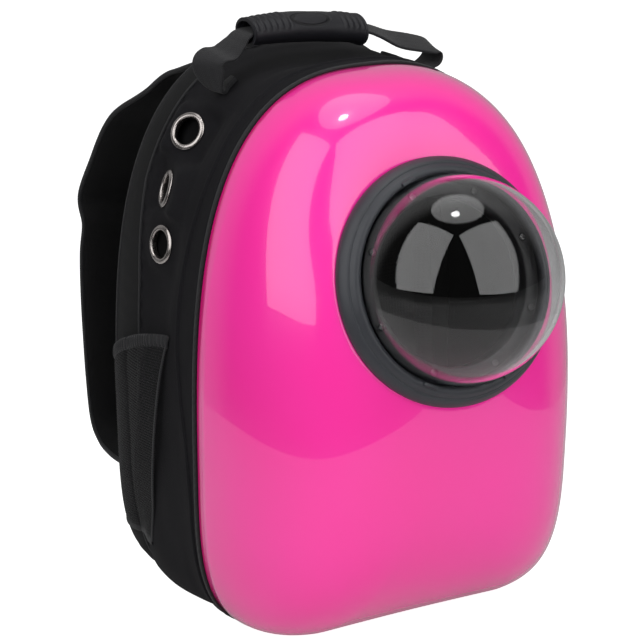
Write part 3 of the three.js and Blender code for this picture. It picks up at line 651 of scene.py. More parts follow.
def woven(paint, u, v, pitch):
    """Height of a plain weave with one thread every pitch metres."""
    a, b = paint.sine(u * (math.pi / pitch)), paint.sine(v * (math.pi / pitch))
    over = paint.step(a * b, -0.3, 0.3)
    warp, weft = paint.size(a) * (0.45 + 0.55 * over), paint.size(b) * (1 - 0.55 * over)
    return paint.maths("MAXIMUM", warp, weft)


def pink_plastic():
    paint = Paint("pink_gloss", Coat_Weight=1.0, Coat_Roughness=0.025, Coat_IOR=1.5,
                  Specular_IOR_Level=0.5)
    space = paint.space()
    cloud = paint.noise(space, 7.0, 2.0)
    grain = paint.noise(space, 900.0, 2.0)
    face = paint.blend(cloud, (0.93, 0.020, 0.31), (0.95, 0.031, 0.38))
    # Painted shade: the band along the rim is painted a darker pink, for the dark that the shell's
    # turned-away edge shows.
    rim = paint.step(paint.split(space)[1], RIM_Y - 0.0065, RIM_Y - 0.0030)
    paint.feed("Base Color", paint.blend(rim, face, (0.62, 0.006, 0.17)))
    paint.feed("Roughness", 0.20 + 0.08 * paint.noise(space, 60.0, 4.0))
    paint.raise_by(0.9 * paint.noise(space, 16.0, 1.5) + 0.012 * grain, 0.0012, 0.55)
    return paint.material


def slate_rubber():
    paint = Paint("slate_rubber", Specular_IOR_Level=0.45)
    space = paint.space()
    grain = paint.noise(space, 2600.0, 3.0)
    dust = paint.noise(space, 45.0, 5.0, 0.65)
    around = paint.moved(space, location=tuple(-WINDOW_CENTRE), rotation=(0, 0, 0))
    x, y, z = paint.split(around)
    up = y * WINDOW_UP.y + z * WINDOW_UP.z
    away = (x * x + up * up) ** 0.5
    outer = paint.step(away, DOME_RADIUS - 0.0012, DOME_RADIUS)
    face = paint.blend(dust, (0.020, 0.022, 0.027), (0.036, 0.039, 0.046))
    paint.feed("Base Color", paint.blend(outer, (0.004, 0.004, 0.005), face))
    paint.feed("Roughness", 0.36 + 0.16 * dust)
    paint.raise_by(grain + 0.6 * dust, 0.00012, 0.5)
    return paint.material


def clear_plastic():
    paint = Paint("clear_window", IOR=1.47, Transmission_Weight=1.0, Specular_IOR_Level=0.75)
    space = paint.space()
    scratch = paint.noise(paint.moved(space, (1, 8, 1), rotation=(0.3, 0.5, 0.2)), 260.0, 2.0)
    smear = paint.noise(space, 22.0, 4.0, 0.6)
    paint.feed("Base Color", paint.blend(smear, (0.985, 0.985, 0.99), (0.95, 0.95, 0.96)))
    paint.feed("Roughness", 0.004 + 0.02 * paint.step(smear, 0.5, 0.8) * scratch)
    paint.raise_by(paint.noise(space, 12.0, 1.0), 0.0004, 0.25)
    return paint.material


def body_cloth(name, tone, pitch=0.0009, shine=0.5):
    """Woven polyester: threads by the cloth's own flat place, soft mottling by place in space."""
    paint = Paint(name, Specular_IOR_Level=0.16, Sheen_Weight=0.01, Sheen_Roughness=shine)
    u, v, _ = paint.split(paint.flat())
    space = paint.space()
    weave = woven(paint, u, v, pitch)
    slub = paint.noise(paint.moved(paint.flat(), (40, 900, 1)), 1.0, 3.0)
    mottle = paint.noise(space, 30.0, 4.0, 0.6)
    dark = tuple(c * 0.55 for c in tone)
    bright = tuple(c * 1.5 for c in tone)
    paint.feed("Base Color", paint.blend(0.55 * weave + 0.3 * mottle + 0.15 * slub, dark, bright))
    paint.feed("Roughness", 0.62 + 0.25 * (1 - weave) + 0.08 * mottle)
    paint.raise_by(weave + 0.35 * slub + 0.5 * mottle, 0.00022, 0.8)
    return paint.material


# Painted shade: a near-black tone for the lining, standing in for the shade inside the closed carrier.
def painted_shade_lining():
    paint = Paint("lining", Specular_IOR_Level=0.12)
    fuzz = paint.noise(paint.space(), 300.0, 3.0)
    paint.feed("Base Color", paint.blend(fuzz, (0.0012, 0.0012, 0.0015), (0.0022, 0.0022, 0.0026)))
    paint.feed("Roughness", 0.8 + 0.1 * fuzz)
    return paint.material


def webbing_cloth(name, tone, pitch=0.0017):
    """Heavy ribbed webbing: chevron ribs along the strap and fine cords running along it."""
    paint = Paint(name, Specular_IOR_Level=0.4, Sheen_Weight=0.08)
    u, v, _ = paint.split(paint.flat())
    zigzag = paint.size(paint.sine(u * (math.pi / 0.006))) * 0.0022
    rib = paint.size(paint.sine((v + zigzag) * (math.pi / pitch)))
    cord = paint.size(paint.sine(u * (math.pi / 0.0015)))
    weave = 0.6 * rib + 0.4 * cord
    fuzz = paint.noise(paint.space(), 700.0, 3.0)
    paint.feed("Base Color", paint.blend(weave, tuple(c * 0.5 for c in tone), tuple(c * 1.6 for c in tone)))
    paint.feed("Roughness", 0.55 + 0.2 * fuzz)
    paint.raise_by(weave + 0.3 * fuzz, 0.0004, 0.8)
    return paint.material


def tape_cloth():
    """Plain weave by place in space, for the short tapes."""
    paint = Paint("tape_cloth", Specular_IOR_Level=0.2)
    x, y, _ = paint.split(paint.space())
    weave = woven(paint, x, y, 0.0016)
    fuzz = paint.noise(paint.space(), 700.0, 2.0)
    tone = 0.7 * weave + 0.3 * fuzz
    paint.feed("Base Color", paint.blend(tone, (0.003, 0.003, 0.004), (0.011, 0.011, 0.013)))
    paint.feed("Roughness", 0.62 + 0.25 * weave)
    paint.raise_by(weave + 0.3 * fuzz, 0.0003, 0.8)
    return paint.material


def pocket_net():
    """Warp-knit net: wide open cells between level threads, held by finer upright ones."""
    paint = Paint("black_net", Specular_IOR_Level=0.3, Sheen_Weight=0.05)
    u, v, _ = paint.split(paint.flat())
    row = paint.maths("FLOOR", v / NET_PITCH)
    a = paint.size(paint.sine((u / 0.0036 + 0.5 * row) * math.pi))
    b = paint.size(paint.sine(v * (math.pi / NET_PITCH)))
    open_cell = paint.step(b, 0.42, 0.62) * paint.step(a, 0.12, 0.26)
    fuzz = paint.noise(paint.space(), 900.0, 2.0)
    paint.feed("Base Color", paint.blend(fuzz, (0.003, 0.003, 0.004), (0.011, 0.011, 0.012)))
    paint.feed("Roughness", 0.6 + 0.25 * fuzz)
    paint.feed("Alpha", 1 - 0.9 * open_cell)
    paint.raise_by(1 - a * b, 0.0004, 0.8)
    return paint.material


def nickel(name, dull, bright):
    paint = Paint(name, Metallic=1.0)
    space = paint.space()
    stain = paint.noise(space, 120.0, 5.0, 0.65)
    paint.feed("Base Color", paint.blend(stain, dull, bright))
    paint.feed("Roughness", 0.16 + 0.2 * stain)
    paint.raise_by(paint.noise(space, 1500.0, 2.0), 0.00005, 0.4)
    return paint.material


def grip_rubber():
    """Grained rubber with a plain oval pressed into its upper front."""
    paint = Paint("grip_rubber", Specular_IOR_Level=0.35)
    space = paint.space()
    grain = paint.noise(space, 3000.0, 3.0)
    dust = paint.noise(space, 60.0, 5.0, 0.7)
    u, v, _ = paint.split(paint.flat())
    along, around = (u - OVAL_PLACE[0]) / OVAL_SIZE[0], (v - OVAL_PLACE[1]) / OVAL_SIZE[1]
    away = paint.size((along * along + around * around) ** 0.5 - 1)
    groove = 1 - paint.step(away, 0.05, 0.16)
    face = paint.blend(dust, (0.006, 0.006, 0.008), (0.012, 0.012, 0.015))
    # Painted shade: the groove of the pressed oval is painted near-black.
    paint.feed("Base Color", paint.blend(groove, face, (0.001, 0.001, 0.002)))
    paint.feed("Roughness", 0.42 + 0.18 * dust)
    paint.raise_by(0.10 * grain + 0.07 * dust - groove, 0.0009, 0.9)
    return paint.material


def hard_plastic():
    paint = Paint("black_plastic", Specular_IOR_Level=0.5)
    space = paint.space()
    spark = paint.noise(space, 2200.0, 2.0)
    paint.feed("Base Color", paint.blend(spark, (0.010, 0.010, 0.012), (0.018, 0.018, 0.021)))
    paint.feed("Roughness", 0.34 + 0.14 * spark)
    paint.raise_by(spark, 0.00006, 0.5)
    return paint.material


CLOTH_TONE = (0.0046, 0.0043, 0.0056)
PINK = pink_plastic()
SLATE = slate_rubber()
CLEAR = clear_plastic()
CLOTH = body_cloth("body_cloth", CLOTH_TONE)
BAND_CLOTH = body_cloth("band_cloth", (0.0080, 0.0080, 0.0085), 0.0009)
STRAP_CLOTH = body_cloth("strap_cloth", (0.0040, 0.0040, 0.0043), 0.0010)
SPACER_CLOTH = body_cloth("spacer_cloth", (0.0100, 0.0100, 0.0115), 0.0030)
SHADE_LINING = painted_shade_lining()
WEBBING = webbing_cloth("webbing", (0.0050, 0.0050, 0.0062))
BINDING = webbing_cloth("binding", (0.0050, 0.0050, 0.0062), 0.0012)
NET = pocket_net()
TAPE = tape_cloth()
NICKEL = nickel("nickel", (0.30, 0.27, 0.26), (0.62, 0.58, 0.56))
SCREW = nickel("dark_screw", (0.03, 0.03, 0.03), (0.09, 0.09, 0.09))
GRIP = grip_rubber()
PLASTIC = hard_plastic()


# Front shell
def build_shell():
    def place(arc, reach, v):
        climb = 1 - v ** 1.5
        return shell_point(arc, climb), (arc, climb)

    piece = body_grid("pink_shell", 260, 84, place)
    modify(piece, "SOLIDIFY", thickness=SHELL_WALL, offset=-1, use_even_offset=False)
    hole = primitive("hole", bpy.ops.mesh.primitive_cylinder_add,
                     vertices=160, radius=SHELL_HOLE_RADIUS, depth=0.08)
    hole.data.transform(WINDOW_PLACE)
    cut_away(piece, hole)
    return wear(piece, PINK, "shell_plastic", "shell")


def build_cabin_lining():
    """Lining of the cloth walls: it closes the seams to light, and its near-black tone is painted shade for
    the inside seen through the window.
    """
    def place(arc, reach, v):
        y = mix(0.001, BODY_DEPTH - 0.012, v)
        out = min(0.0, panel_out(reach, y)) * base_hold(reach) - 0.0034
        return on_body(arc, y, out), (arc, y)

    piece = body_grid("cabin_lining", 200, 20, place)
    modify(piece, "SOLIDIFY", thickness=0.0006, offset=-1)
    return wear(piece, SHADE_LINING, "body_cloth")


def build_lining():
    """Lining just inside the shell, which is what the window shows; its near-black tone is painted shade for
    the closed inside.
    """
    inset = 0.0045

    def place(arc, reach, v):
        climb = 1 - v ** 1.5
        point = shell_point(arc, climb, lip=False)
        hub = Vector((0, RIM_Y - 0.03, POLE_HEIGHT))
        return point + (hub - point).normalized() * inset, (arc, climb * SHELL_DEPTH)

    piece = body_grid("shell_lining", 120, 40, place)

    def by_window(co):
        local = co - WINDOW_CENTRE
        height = local.dot(WINDOW_AXIS)
        return height > -0.03 and (local - WINDOW_AXIS * height).length < SHELL_HOLE_RADIUS - 0.001

    select_vertices(piece, by_window)
    bpy.ops.mesh.delete(type="VERT")
    done()
    modify(piece, "SOLIDIFY", thickness=0.0008, offset=-1)
    return wear(piece, SHADE_LINING, "body_cloth")


# Bubble window
def build_ring():
    groove_outer = DOME_RADIUS + GAP
    groove_inner = DOME_RADIUS - DOME_WALL - GAP
    barrel = SHELL_HOLE_RADIUS - 3 * GAP
    profile = [
        (barrel, -0.0046), (barrel, GAP), (RING_RADIUS, GAP), (RING_RADIUS, 0.0045),
        (RING_RADIUS - 0.0016, 0.0078), (RING_RADIUS - 0.0036, 0.0104), (RING_RADIUS - 0.0048, 0.0112),
        (RING_RADIUS - 0.0056, 0.0108), (RING_RADIUS - 0.0066, 0.0124), (RING_RADIUS - 0.0082, 0.0142),
        (RING_RADIUS - 0.0100, 0.0150), (RING_RADIUS - 0.0120, 0.0146), (groove_outer, 0.0122),
        (groove_outer, GROOVE_FLOOR), (groove_inner, GROOVE_FLOOR), (groove_inner, LEDGE_RISE),
        (LEDGE_RADIUS, LEDGE_RISE), (LEDGE_RADIUS, -0.0046)]
    ring = lathe("ring", rounded(profile), 160)
    tabs = []
    for turn in TAB_TURNS:
        tab = primitive("tab", bpy.ops.mesh.primitive_cube_add, size=1)
        tab.data.transform(Matrix.Diagonal((0.0030, 0.0105, 0.0034, 1)))
        modify(tab, "BEVEL", width=0.0009, segments=3)
        turned = Matrix.Rotation(math.radians(turn), 4, "Z")
        tab.data.transform(WINDOW_PLACE @ turned @ Matrix.Translation((DOME_RADIUS + 0.0030, 0, 0.0152)))
        tabs.append(tab)
    return wear(joined("window_ring_rubber", [ring, *tabs]), SLATE, "ring_rubber", "window_ring")


def build_dome():
    inner = DOME_RADIUS - DOME_WALL
    steps, tip = 34, 0.00002

    def arch(radius):
        turns = [math.pi / 2 * i / steps for i in range(steps)]
        rows = [(radius * math.cos(turn), DOME_LIFT + radius * math.sin(turn)) for turn in turns]
        return rows + [(tip, DOME_LIFT + radius)]

    profile = [(inner, GROOVE_FLOOR + GAP), (DOME_RADIUS, GROOVE_FLOOR + GAP), *arch(DOME_RADIUS),
               *reversed(arch(inner))]
    piece = lathe("window_dome", profile, 128)
    return wear(piece, CLEAR, "window_plastic", "bubble_dome", angle=60)


def build_screws():
    circle = mix(LEDGE_RADIUS, DOME_RADIUS - DOME_WALL, 0.52)
    head = lathe("screw", [(0.0010, 0.0), (SCREW_RADIUS, 0.0), (SCREW_RADIUS, 0.0006), (0.0023, 0.0012),
                           (0.0016, 0.0015), (0.0011, 0.0015), (0.0010, 0.0007), (0.0001, 0.0006)],
                 20, closed=False, place=Matrix.Identity(4))
    for i in range(SCREW_COUNT):
        turn = math.radians(SCREW_TURN + 360 / SCREW_COUNT * i)
        at = Vector((circle * math.cos(turn), circle * math.sin(turn), LEDGE_RISE + GAP))
        screw = copy_of(head, f"window_screw_{i + 1}", WINDOW_PLACE @ Matrix.Translation(at))
        wear(screw, SCREW, "nickel", f"ring_screw_{i + 1}", angle=30)
    bpy.data.objects.remove(head)


# Cloth body
def build_binding():
    def place(arc, reach, v):
        turn = 2 * math.pi * v
        hold = base_hold(reach)
        y = mix(GAP, BINDING_DEPTH, 0.5 - 0.5 * math.cos(turn))
        puff = math.sin(turn)
        out = 0.0013 * puff * hold if puff > 0 else SHELL_WALL * puff
        gather = 0.00012 * math.sin(arc * 2 * math.pi / 0.006) * max(0.0, puff)
        return on_body(arc, y, out + gather * hold), (arc, turn * 0.002)

    piece = body_grid("edge_piping", 420, 16, place)
    face_out(piece)
    return wear(piece, BINDING, "body_cloth", "edge_binding", angle=60)


def build_front_strip():
    def place(arc, reach, v):
        start, end = BINDING_DEPTH + GAP, welt_at(reach) - GAP
        hold = base_hold(reach)
        y = mix(start, end, v)
        roll = clamp01((y - end + WELT_WIDTH) / WELT_WIDTH)
        welt = WELT_RISE * math.sin(math.pi * min(1.0, roll * 1.02)) ** 0.6 if roll > 0 else 0.0
        tuck = -0.0006 * (1 - smooth((y - start) / 0.002))
        slack = 0.0007 * wrinkle((arc, y * 1.6, 0), 0.035, 3.1) * fade_at_ends(y, start, end, 0.006)
        return on_body(arc, y, (welt + tuck + slack) * hold), (arc, y)

    piece = body_grid("front_strip_cloth", 460, 30, place)
    modify(piece, "SOLIDIFY", thickness=CLOTH_WALL, offset=-1)
    return wear(piece, CLOTH, "body_cloth", "front_strip")


def eyelet_place(arc, depth):
    """Where an eyelet lies, with Z out of the cloth."""
    x, z, nx, nz = outline(arc)
    reach = abs(arc)
    slope = (panel_out(reach, depth + 0.005) - panel_out(reach, depth - 0.005)) / 0.01
    axis = Vector((nx, -slope, nz)).normalized()
    turn = Vector((0, 0, 1)).rotation_difference(axis).to_matrix().to_4x4()
    return Matrix.Translation(on_body(arc, depth, panel_out(reach, depth))) @ turn


def build_gusset():
    def place(arc, reach, v):
        start, end = welt_at(reach) + GAP, band_at(reach) - GAP
        y = mix(start, end, v)
        free = fade_at_ends(y, start, end, 0.014) * base_hold(reach)
        for _, spot, depth, _ in EYELET_PLACES:
            away = math.hypot(reach - spot, y - depth)
            free *= smooth((away - EYELET_RADIUS) / EYELET_FADE)
        slack = 0.0022 * wrinkle((arc, y * 0.7, 0), 0.060, 1.3)
        slack += 0.0010 * wrinkle((arc * 0.8, y, 0), 0.026, 5.2)
        edge = 0.0006 * math.sin(arc * 2 * math.pi / 0.014)
        edge *= (1 - smooth((end - y) / 0.012)) * smooth((end - y) / 0.002)
        out = (panel_out(reach, y) + edge) * base_hold(reach) + slack * free
        return on_body(arc, y, out), (arc, y)

    piece = body_grid("side_cloth", 520, 64, place)
    modify(piece, "SOLIDIFY", thickness=CLOTH_WALL, offset=-1)
    cutters = []
    for side in (-1, 1):
        for _, arc, depth, _ in EYELET_PLACES:
            cutter = primitive("cutter", bpy.ops.mesh.primitive_cylinder_add,
                               vertices=32, radius=EYELET_HOLE + 0.0012, depth=0.03)
            cutter.data.transform(eyelet_place(side * arc, depth))
            cutters.append(cutter)
    cut_away(piece, joined("cutters", cutters))
    return wear(piece, CLOTH, "body_cloth", "gusset_left", "gusset_right")


def build_eyelets():
    profile = [(EYELET_HOLE, -0.0028), (EYELET_HOLE + 0.0012, -0.0028), (EYELET_HOLE + 0.0012, 0.0003),
               (EYELET_RADIUS, 0.0003), (EYELET_RADIUS - 0.0001, 0.0009), (EYELET_RADIUS - 0.0010, 0.0016),
               (EYELET_HOLE + 0.0021, 0.0021), (EYELET_HOLE + 0.0009, 0.0020), (EYELET_HOLE + 0.0002, 0.0012)]
    ring = lathe("eyelet", rounded(profile, 0.25), 56, place=Matrix.Identity(4))
    for side, label in ((-1, "left"), (1, "right")):
        for name, arc, depth, _ in EYELET_PLACES:
            eyelet = copy_of(ring, f"air_eyelet_{label}_{name}", eyelet_place(side * arc, depth))
            wear(eyelet, NICKEL, "nickel", f"eyelet_{label}_{name}", angle=50)
    bpy.data.objects.remove(ring)


def build_rear_band():
    face = 0.62

    def section(reach, turn):
        """Outer face from the seam to the back edge, then round inside, by turn 0 to 1."""
        start = band_at(reach) + 2.5 * GAP
        if turn < face:
            y = mix(start, BODY_DEPTH, (turn / face) ** 0.9)
            return y, outer_out(reach, y) * base_hold(reach)
        share = 2 * (turn - face) / (1 - face)
        if share < 1:
            return BODY_DEPTH, mix(0.0, -BAND_WALL, share)
        return mix(BODY_DEPTH, start, share - 1), mix(-BAND_WALL, -BAND_WALL * 0.6, share - 1)

    def place(arc, reach, v):
        y, out = section(reach, v if v < 1 else 0.0)
        outer = max(0.0, 1 - abs(2 * v / face - 1)) * base_hold(reach)
        slack = 0.0009 * wrinkle((arc, y * 0.5, 0), 0.045, 7.7)
        slack += 0.0003 * math.sin(arc * 2 * math.pi / 0.016)
        return on_body(arc, y, out + slack * outer), (arc, y + max(0.0, v - face) * 0.03)

    piece = body_grid("rear_band_pad", 420, 40, place)
    face_out(piece)
    return wear(piece, BAND_CLOTH, "body_cloth", "rear_band")


def build_seam_cords():
    """Thin piping cords: where the rear band meets the side cloth, and round the back panel."""
    def cord(name, depth_of, lift, radius):
        def place(arc, reach, v):
            turn = 2 * math.pi * v
            depth = depth_of(reach) + radius * math.cos(turn)
            out = (lift + radius * math.sin(turn)) * base_hold(reach)
            return on_body(arc, depth, out), (arc, turn * radius)

        piece = body_grid(name, 420, 10, place)
        face_out(piece)
        return wear(piece, BINDING, "body_cloth", angle=80)

    cord("band_piping", lambda reach: band_at(reach) + 0.0002, 0.0003, 0.0012)
    cord("back_piping", lambda reach: BODY_DEPTH - 0.0004, 0.0002, 0.0016)


def build_back_panel():
    """Foam panel with two long pads, a lumbar pad and air channels between them."""
    inset = BAND_WALL + GAP

    def puff(x, z, edge):
        channel = 1 - bump(abs(x) / 0.016)
        rows = 1 - bump((z - 0.120) / 0.010)
        rim = smooth(edge / 0.016)
        quilt = 0.85 + 0.15 * abs(math.sin(math.pi * z / 0.036))
        return rim * channel * rows * quilt

    def place(arc, reach, v):
        x, z, nx, nz = outline(arc)
        hub = Vector((0, 0, BODY_HEIGHT * 0.45))
        rim = Vector((x - nx * inset, 0, z - nz * inset))
        point = rim.lerp(hub, 1 - v ** 0.8)
        edge = (rim - point).length
        depth = BODY_DEPTH - 0.0045 + 0.0065 * puff(point.x, point.z, edge)
        depth += 0.0004 * wrinkle(point, 0.02, 2.2)
        return Vector((point.x, RIM_Y + depth, point.z)), (point.x, point.z)

    piece = body_grid("back_pad", 240, 70, place)
    flip(piece)
    modify(piece, "SOLIDIFY", thickness=0.009, offset=-1)
    face_out(piece)
    return wear(piece, SPACER_CLOTH, "body_cloth", "back_panel")


# Net pockets
def pocket_point(side, u, v, lift=0.0):
    u = mix(POCKET_SLANT * (1 - v), 1, u)
    y = mix(POCKET_FRONT, POCKET_REAR, u) * BODY_DEPTH
    hem = mix(HEM_FRONT, HEM_REAR, u ** 1.6)
    z = mix(POCKET_FOOT, hem, v) * BODY_HEIGHT
    crease = mix(CREASE_FOOT, CREASE_TOP, v)
    tent = u / crease if u < crease else (1 - u) / (1 - crease)
    mouth = smooth(v) * math.sin(math.pi * clamp01(u)) ** 0.7
    swell = NET_PUFF * (0.55 * tent * math.sin(math.pi * min(v, 0.6)) + mouth)
    arc = arc_at_z(z)
    x, _, nx, nz = outline(side * arc)
    out = outer_out(arc, y) + 2 * GAP + swell + lift
    return Vector((x + nx * out, RIM_Y + y, z + nz * out)), y, z


SIDE_RISE = LINE[REACH > arc_at_rise(0.8)][:, 1][::-1]
SIDE_REACH = REACH[REACH > arc_at_rise(0.8)][::-1]


def arc_at_z(z):
    return float(np.interp(z, SIDE_RISE, SIDE_REACH))


def build_pockets():
    for side, label in ((-1, "left"), (1, "right")):
        def net(u, v):
            sag = 0.0009 * wrinkle((u * 0.04, v * 0.17, side), 0.03, 4.4) * math.sin(math.pi * clamp01(u))
            point, y, z = pocket_point(side, u, v, 0.0006 + sag)
            return point, (y, z)

        piece = cloth_grid(f"pocket_net_{label}", 72, 110, net)
        if side < 0:
            flip(piece)
        modify(piece, "SOLIDIFY", thickness=0.0005, offset=0)
        wear(piece, NET, "pocket_net", f"mesh_pocket_{label}")

        def hem(u, v):
            turn = 2 * math.pi * v
            ruffle = 0.0005 * math.sin(u * 2 * math.pi * 26)
            point, y, z = pocket_point(side, u, 1.0, 0.0008 + (0.0012 + ruffle) * math.sin(turn))
            point.z += 0.0050 * math.cos(turn) - 0.0045
            return point, (y, 0.0045 * math.cos(turn))

        band = cloth_grid(f"pocket_hem_{label}", 110, 14, hem)
        face_out(band)
        wear(band, BINDING, "body_cloth", angle=60)

        def edge(name, count, width, sideways):
            def tape(u, v):
                turn = 2 * math.pi * v
                shift = width * math.cos(turn)
                share = (u, 0.0) if sideways else (0.0, u)
                point, y, z = pocket_point(side, *share, 0.0004 + 0.0008 * math.sin(turn))
                point += Vector((0, 0, shift)) if sideways else Vector((0, shift, 0))
                return point, (z + y, shift)

            strip = cloth_grid(name, count, 12, tape)
            face_out(strip)
            wear(strip, BINDING, "body_cloth", angle=60)

        edge(f"pocket_front_tape_{label}", 80, 0.0014, False)
        edge(f"pocket_foot_tape_{label}", 50, 0.0035, True)


# Handle
def grip_centre(share):
    """Middle of the grip, from its left end at -1 to its right end at 1."""
    rise = GRIP_RISE - GRIP_FALL * share - GRIP_ARCH * share ** 2
    return GRIP_SHIFT + GRIP_LENGTH / 2 * share, BODY_HEIGHT + rise


def handle_route():
    """Rows of x, y, z, lean and twist from the left foot to the right one."""
    lie = WEBBING_WALL / 2 + GAP

    def on_cloth(x):
        above = LINE[:OUTLINE_STEPS + 1]
        z = float(np.interp(x, above[:, 0], above[:, 1]))
        arc = arc_at_rise(z / BODY_HEIGHT)
        px, pz, nx, nz = outline(arc)
        edges = [panel_out(arc, HANDLE_Y - RIM_Y + share * WEBBING_WIDTH) for share in (-0.5, 0, 0.5)]
        out = max(edges) + lie
        return px + nx * out, pz + nz * out

    def half(side, loop):
        far_x, far_z = on_cloth(FOOT_FAR)
        end_x, end_z = grip_centre(side)
        near = FOOT_NEAR if side > 0 else FOOT_TUCKED
        feet = [on_cloth(near), on_cloth(mix(near, FOOT_FAR, 0.5)), (far_x, far_z)]
        inner_x, inner_z = grip_centre(side * 0.5)
        return ([(side * x, HANDLE_Y, z, 0, 0) for x, z in feet]
                + [(side * mix(far_x, LOOP_REACH, out), HANDLE_Y, mix(far_z, end_z, rise), lean, twist)
                   for out, rise, lean, twist in loop]
                + [(end_x, HANDLE_Y, end_z, 0, 0), (inner_x, HANDLE_Y, inner_z, 0, 0)])

    middle_x, middle_z = grip_centre(0)
    return half(-1, LEFT_LOOP) + [(middle_x, HANDLE_Y, middle_z, 0, 0)] + half(1, RIGHT_LOOP)[::-1]


def build_handle():
    rows = path_through(handle_route(), 300)

    def section(turn, row):
        """The strip's section; its left foot is folded to a point at the seam."""
        a = 2 * math.pi * turn
        c, s = math.cos(a), math.sin(a)
        share = mix(0.3, 1.0, smooth(row[5] / FOLD_LENGTH))
        wide = (math.copysign(abs(c) ** 0.25, c) * share + 0.35 * (1 - share)) * WEBBING_WIDTH / 2
        return wide, math.copysign(abs(s) ** 0.5, s) * WEBBING_WALL / 2 * (2 - share)

    def across(row):
        lean, twist = math.radians(row[3]), math.radians(row[4])
        return Vector((-math.sin(twist), math.cos(twist), math.sin(lean)))

    webbing = sweep("handle_strap", rows, section, across, 28)
    wear(webbing, WEBBING, "body_cloth", "handle_webbing", angle=50)

    def lift(share, turn):
        """Ribs over the top towards both ends, and a rolled lip at each end."""
        up = max(0.0, math.sin(turn))
        zone = smooth((-0.30 - share) / 0.08) + smooth((share - 0.52) / 0.08)
        rib = 0.5 + 0.5 * math.cos(2 * math.pi * share * GRIP_LENGTH / 2 / 0.0048)
        lip = smooth(1 - (1 - abs(share)) / 0.045)
        return 0.0009 * rib * zone * smooth((up - 0.05) / 0.4) * (1 - lip) + 0.0012 * lip

    def grip(u, v):
        share = 2 * u - 1
        turn = 2 * math.pi * v
        x, z = grip_centre(share)
        left, right = max(0.0, -share) ** 2, max(0.0, share) ** 2
        wide = GRIP_WIDTH / 2 * (1 - 0.08 * left) + lift(share, turn)
        thick = GRIP_THICKNESS / 2 * (1 - 0.15 * left - 0.05 * right) + lift(share, turn)
        dip = 0.0004 * wrinkle((share * 0.04, turn * 0.01, 0), 0.014, 6.1)
        point = Vector((x, HANDLE_Y + (wide + dip) * math.cos(turn), z + (thick + dip) * math.sin(turn)))
        return point, (share * GRIP_LENGTH / 2, (v - 0.25) * GRIP_GIRTH)

    sleeve = cloth_grid("handle_grip_sleeve", 300, 96, grip)
    face_out(sleeve)
    modify(sleeve, "SOLIDIFY", thickness=0.0026, offset=-1)
    return wear(sleeve, GRIP, "grip_rubber", "handle_grip")


# Shoulder straps
def build_strap(side):
    label = "left" if side < 0 else "right"
    route = [(side * out * STRAP_SPREAD, BACK_FACE + back * STRAP_BOW, rise * BODY_HEIGHT,
              wide * STRAP_WIDTH / 2, thick * STRAP_THICKNESS / 2)
             for out, back, rise, wide, thick in STRAP_ROUTE]
    rows = path_through(route, 220)

    def sideways(row):
        return Vector((1, 0, 0))

    def section(turn, row):
        width, wall, at = row[3:6]
        a = 2 * math.pi * turn
        c, s = math.cos(a), math.sin(a)
        across = math.copysign(abs(c) ** 0.55, c)
        crown = (1 - abs(across) ** 2.6) ** 0.55
        cell = 0.5 + 0.5 * abs(math.sin(math.pi * at / 0.052))
        puff = wall * (0.22 + 0.78 * crown * (0.82 + 0.18 * cell))
        return across * width, math.copysign(min(1.0, abs(s) ** 0.35), s) * puff

    pad = sweep(f"strap_pad_{label}", rows, section, sideways, 44)
    wear(pad, STRAP_CLOTH, "body_cloth", f"shoulder_strap_{label}", angle=60)

    def piping(name, sign):
        def cord(turn, row):
            a = 2 * math.pi * turn
            return sign * (row[3] - 0.0006) + 0.0016 * math.cos(a), 0.0021 * math.sin(a)
        piece = sweep(name, rows, cord, sideways, 12)
        wear(piece, BINDING, "body_cloth", angle=80)

    piping(f"strap_edge_inner_{label}", -1)
    piping(f"strap_edge_outer_{label}", 1)


for builder in (build_shell, build_lining, build_ring, build_dome, build_screws, build_binding,
                build_front_strip, build_gusset, build_cabin_lining, build_eyelets, build_rear_band,
                build_seam_cords, build_back_panel, build_pockets, build_handle):
    builder()
build_strap(-1)
build_strap(1)

for name, material in (("ladder_lock_left", PLASTIC), ("ladder_lock_right", PLASTIC),
                       ("strap_tape_left", TAPE), ("strap_tape_right", TAPE)):
    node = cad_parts[name]
    node.data.materials.clear()
    node.data.materials.append(material)


# Floor, light and camera
def place_camera():
    yaw, pitch = math.radians(CAMERA_YAW), math.radians(CAMERA_PITCH)
    back = Vector((math.sin(yaw) * math.cos(pitch), -math.cos(yaw) * math.cos(pitch), math.sin(pitch)))
    right = (-back).cross(Vector((0, 0, 1))).normalized()
    up = right.cross(-back)
    roll = math.radians(CAMERA_ROLL)
    across = right * math.cos(roll) + up * math.sin(roll)
    above = up * math.cos(roll) - right * math.sin(roll)
    camera = bpy.data.objects.new("camera", bpy.data.cameras.new("camera"))
    bpy.context.scene.collection.objects.link(camera)
    camera.matrix_world = Matrix.Translation(CAMERA_TARGET + back * CAMERA_DISTANCE) @ Matrix(
        (across, above, back)).transposed().to_4x4()
    camera.data.lens = CAMERA_LENS
    camera.data.sensor_width = 36.0
    bpy.context.scene.camera = camera


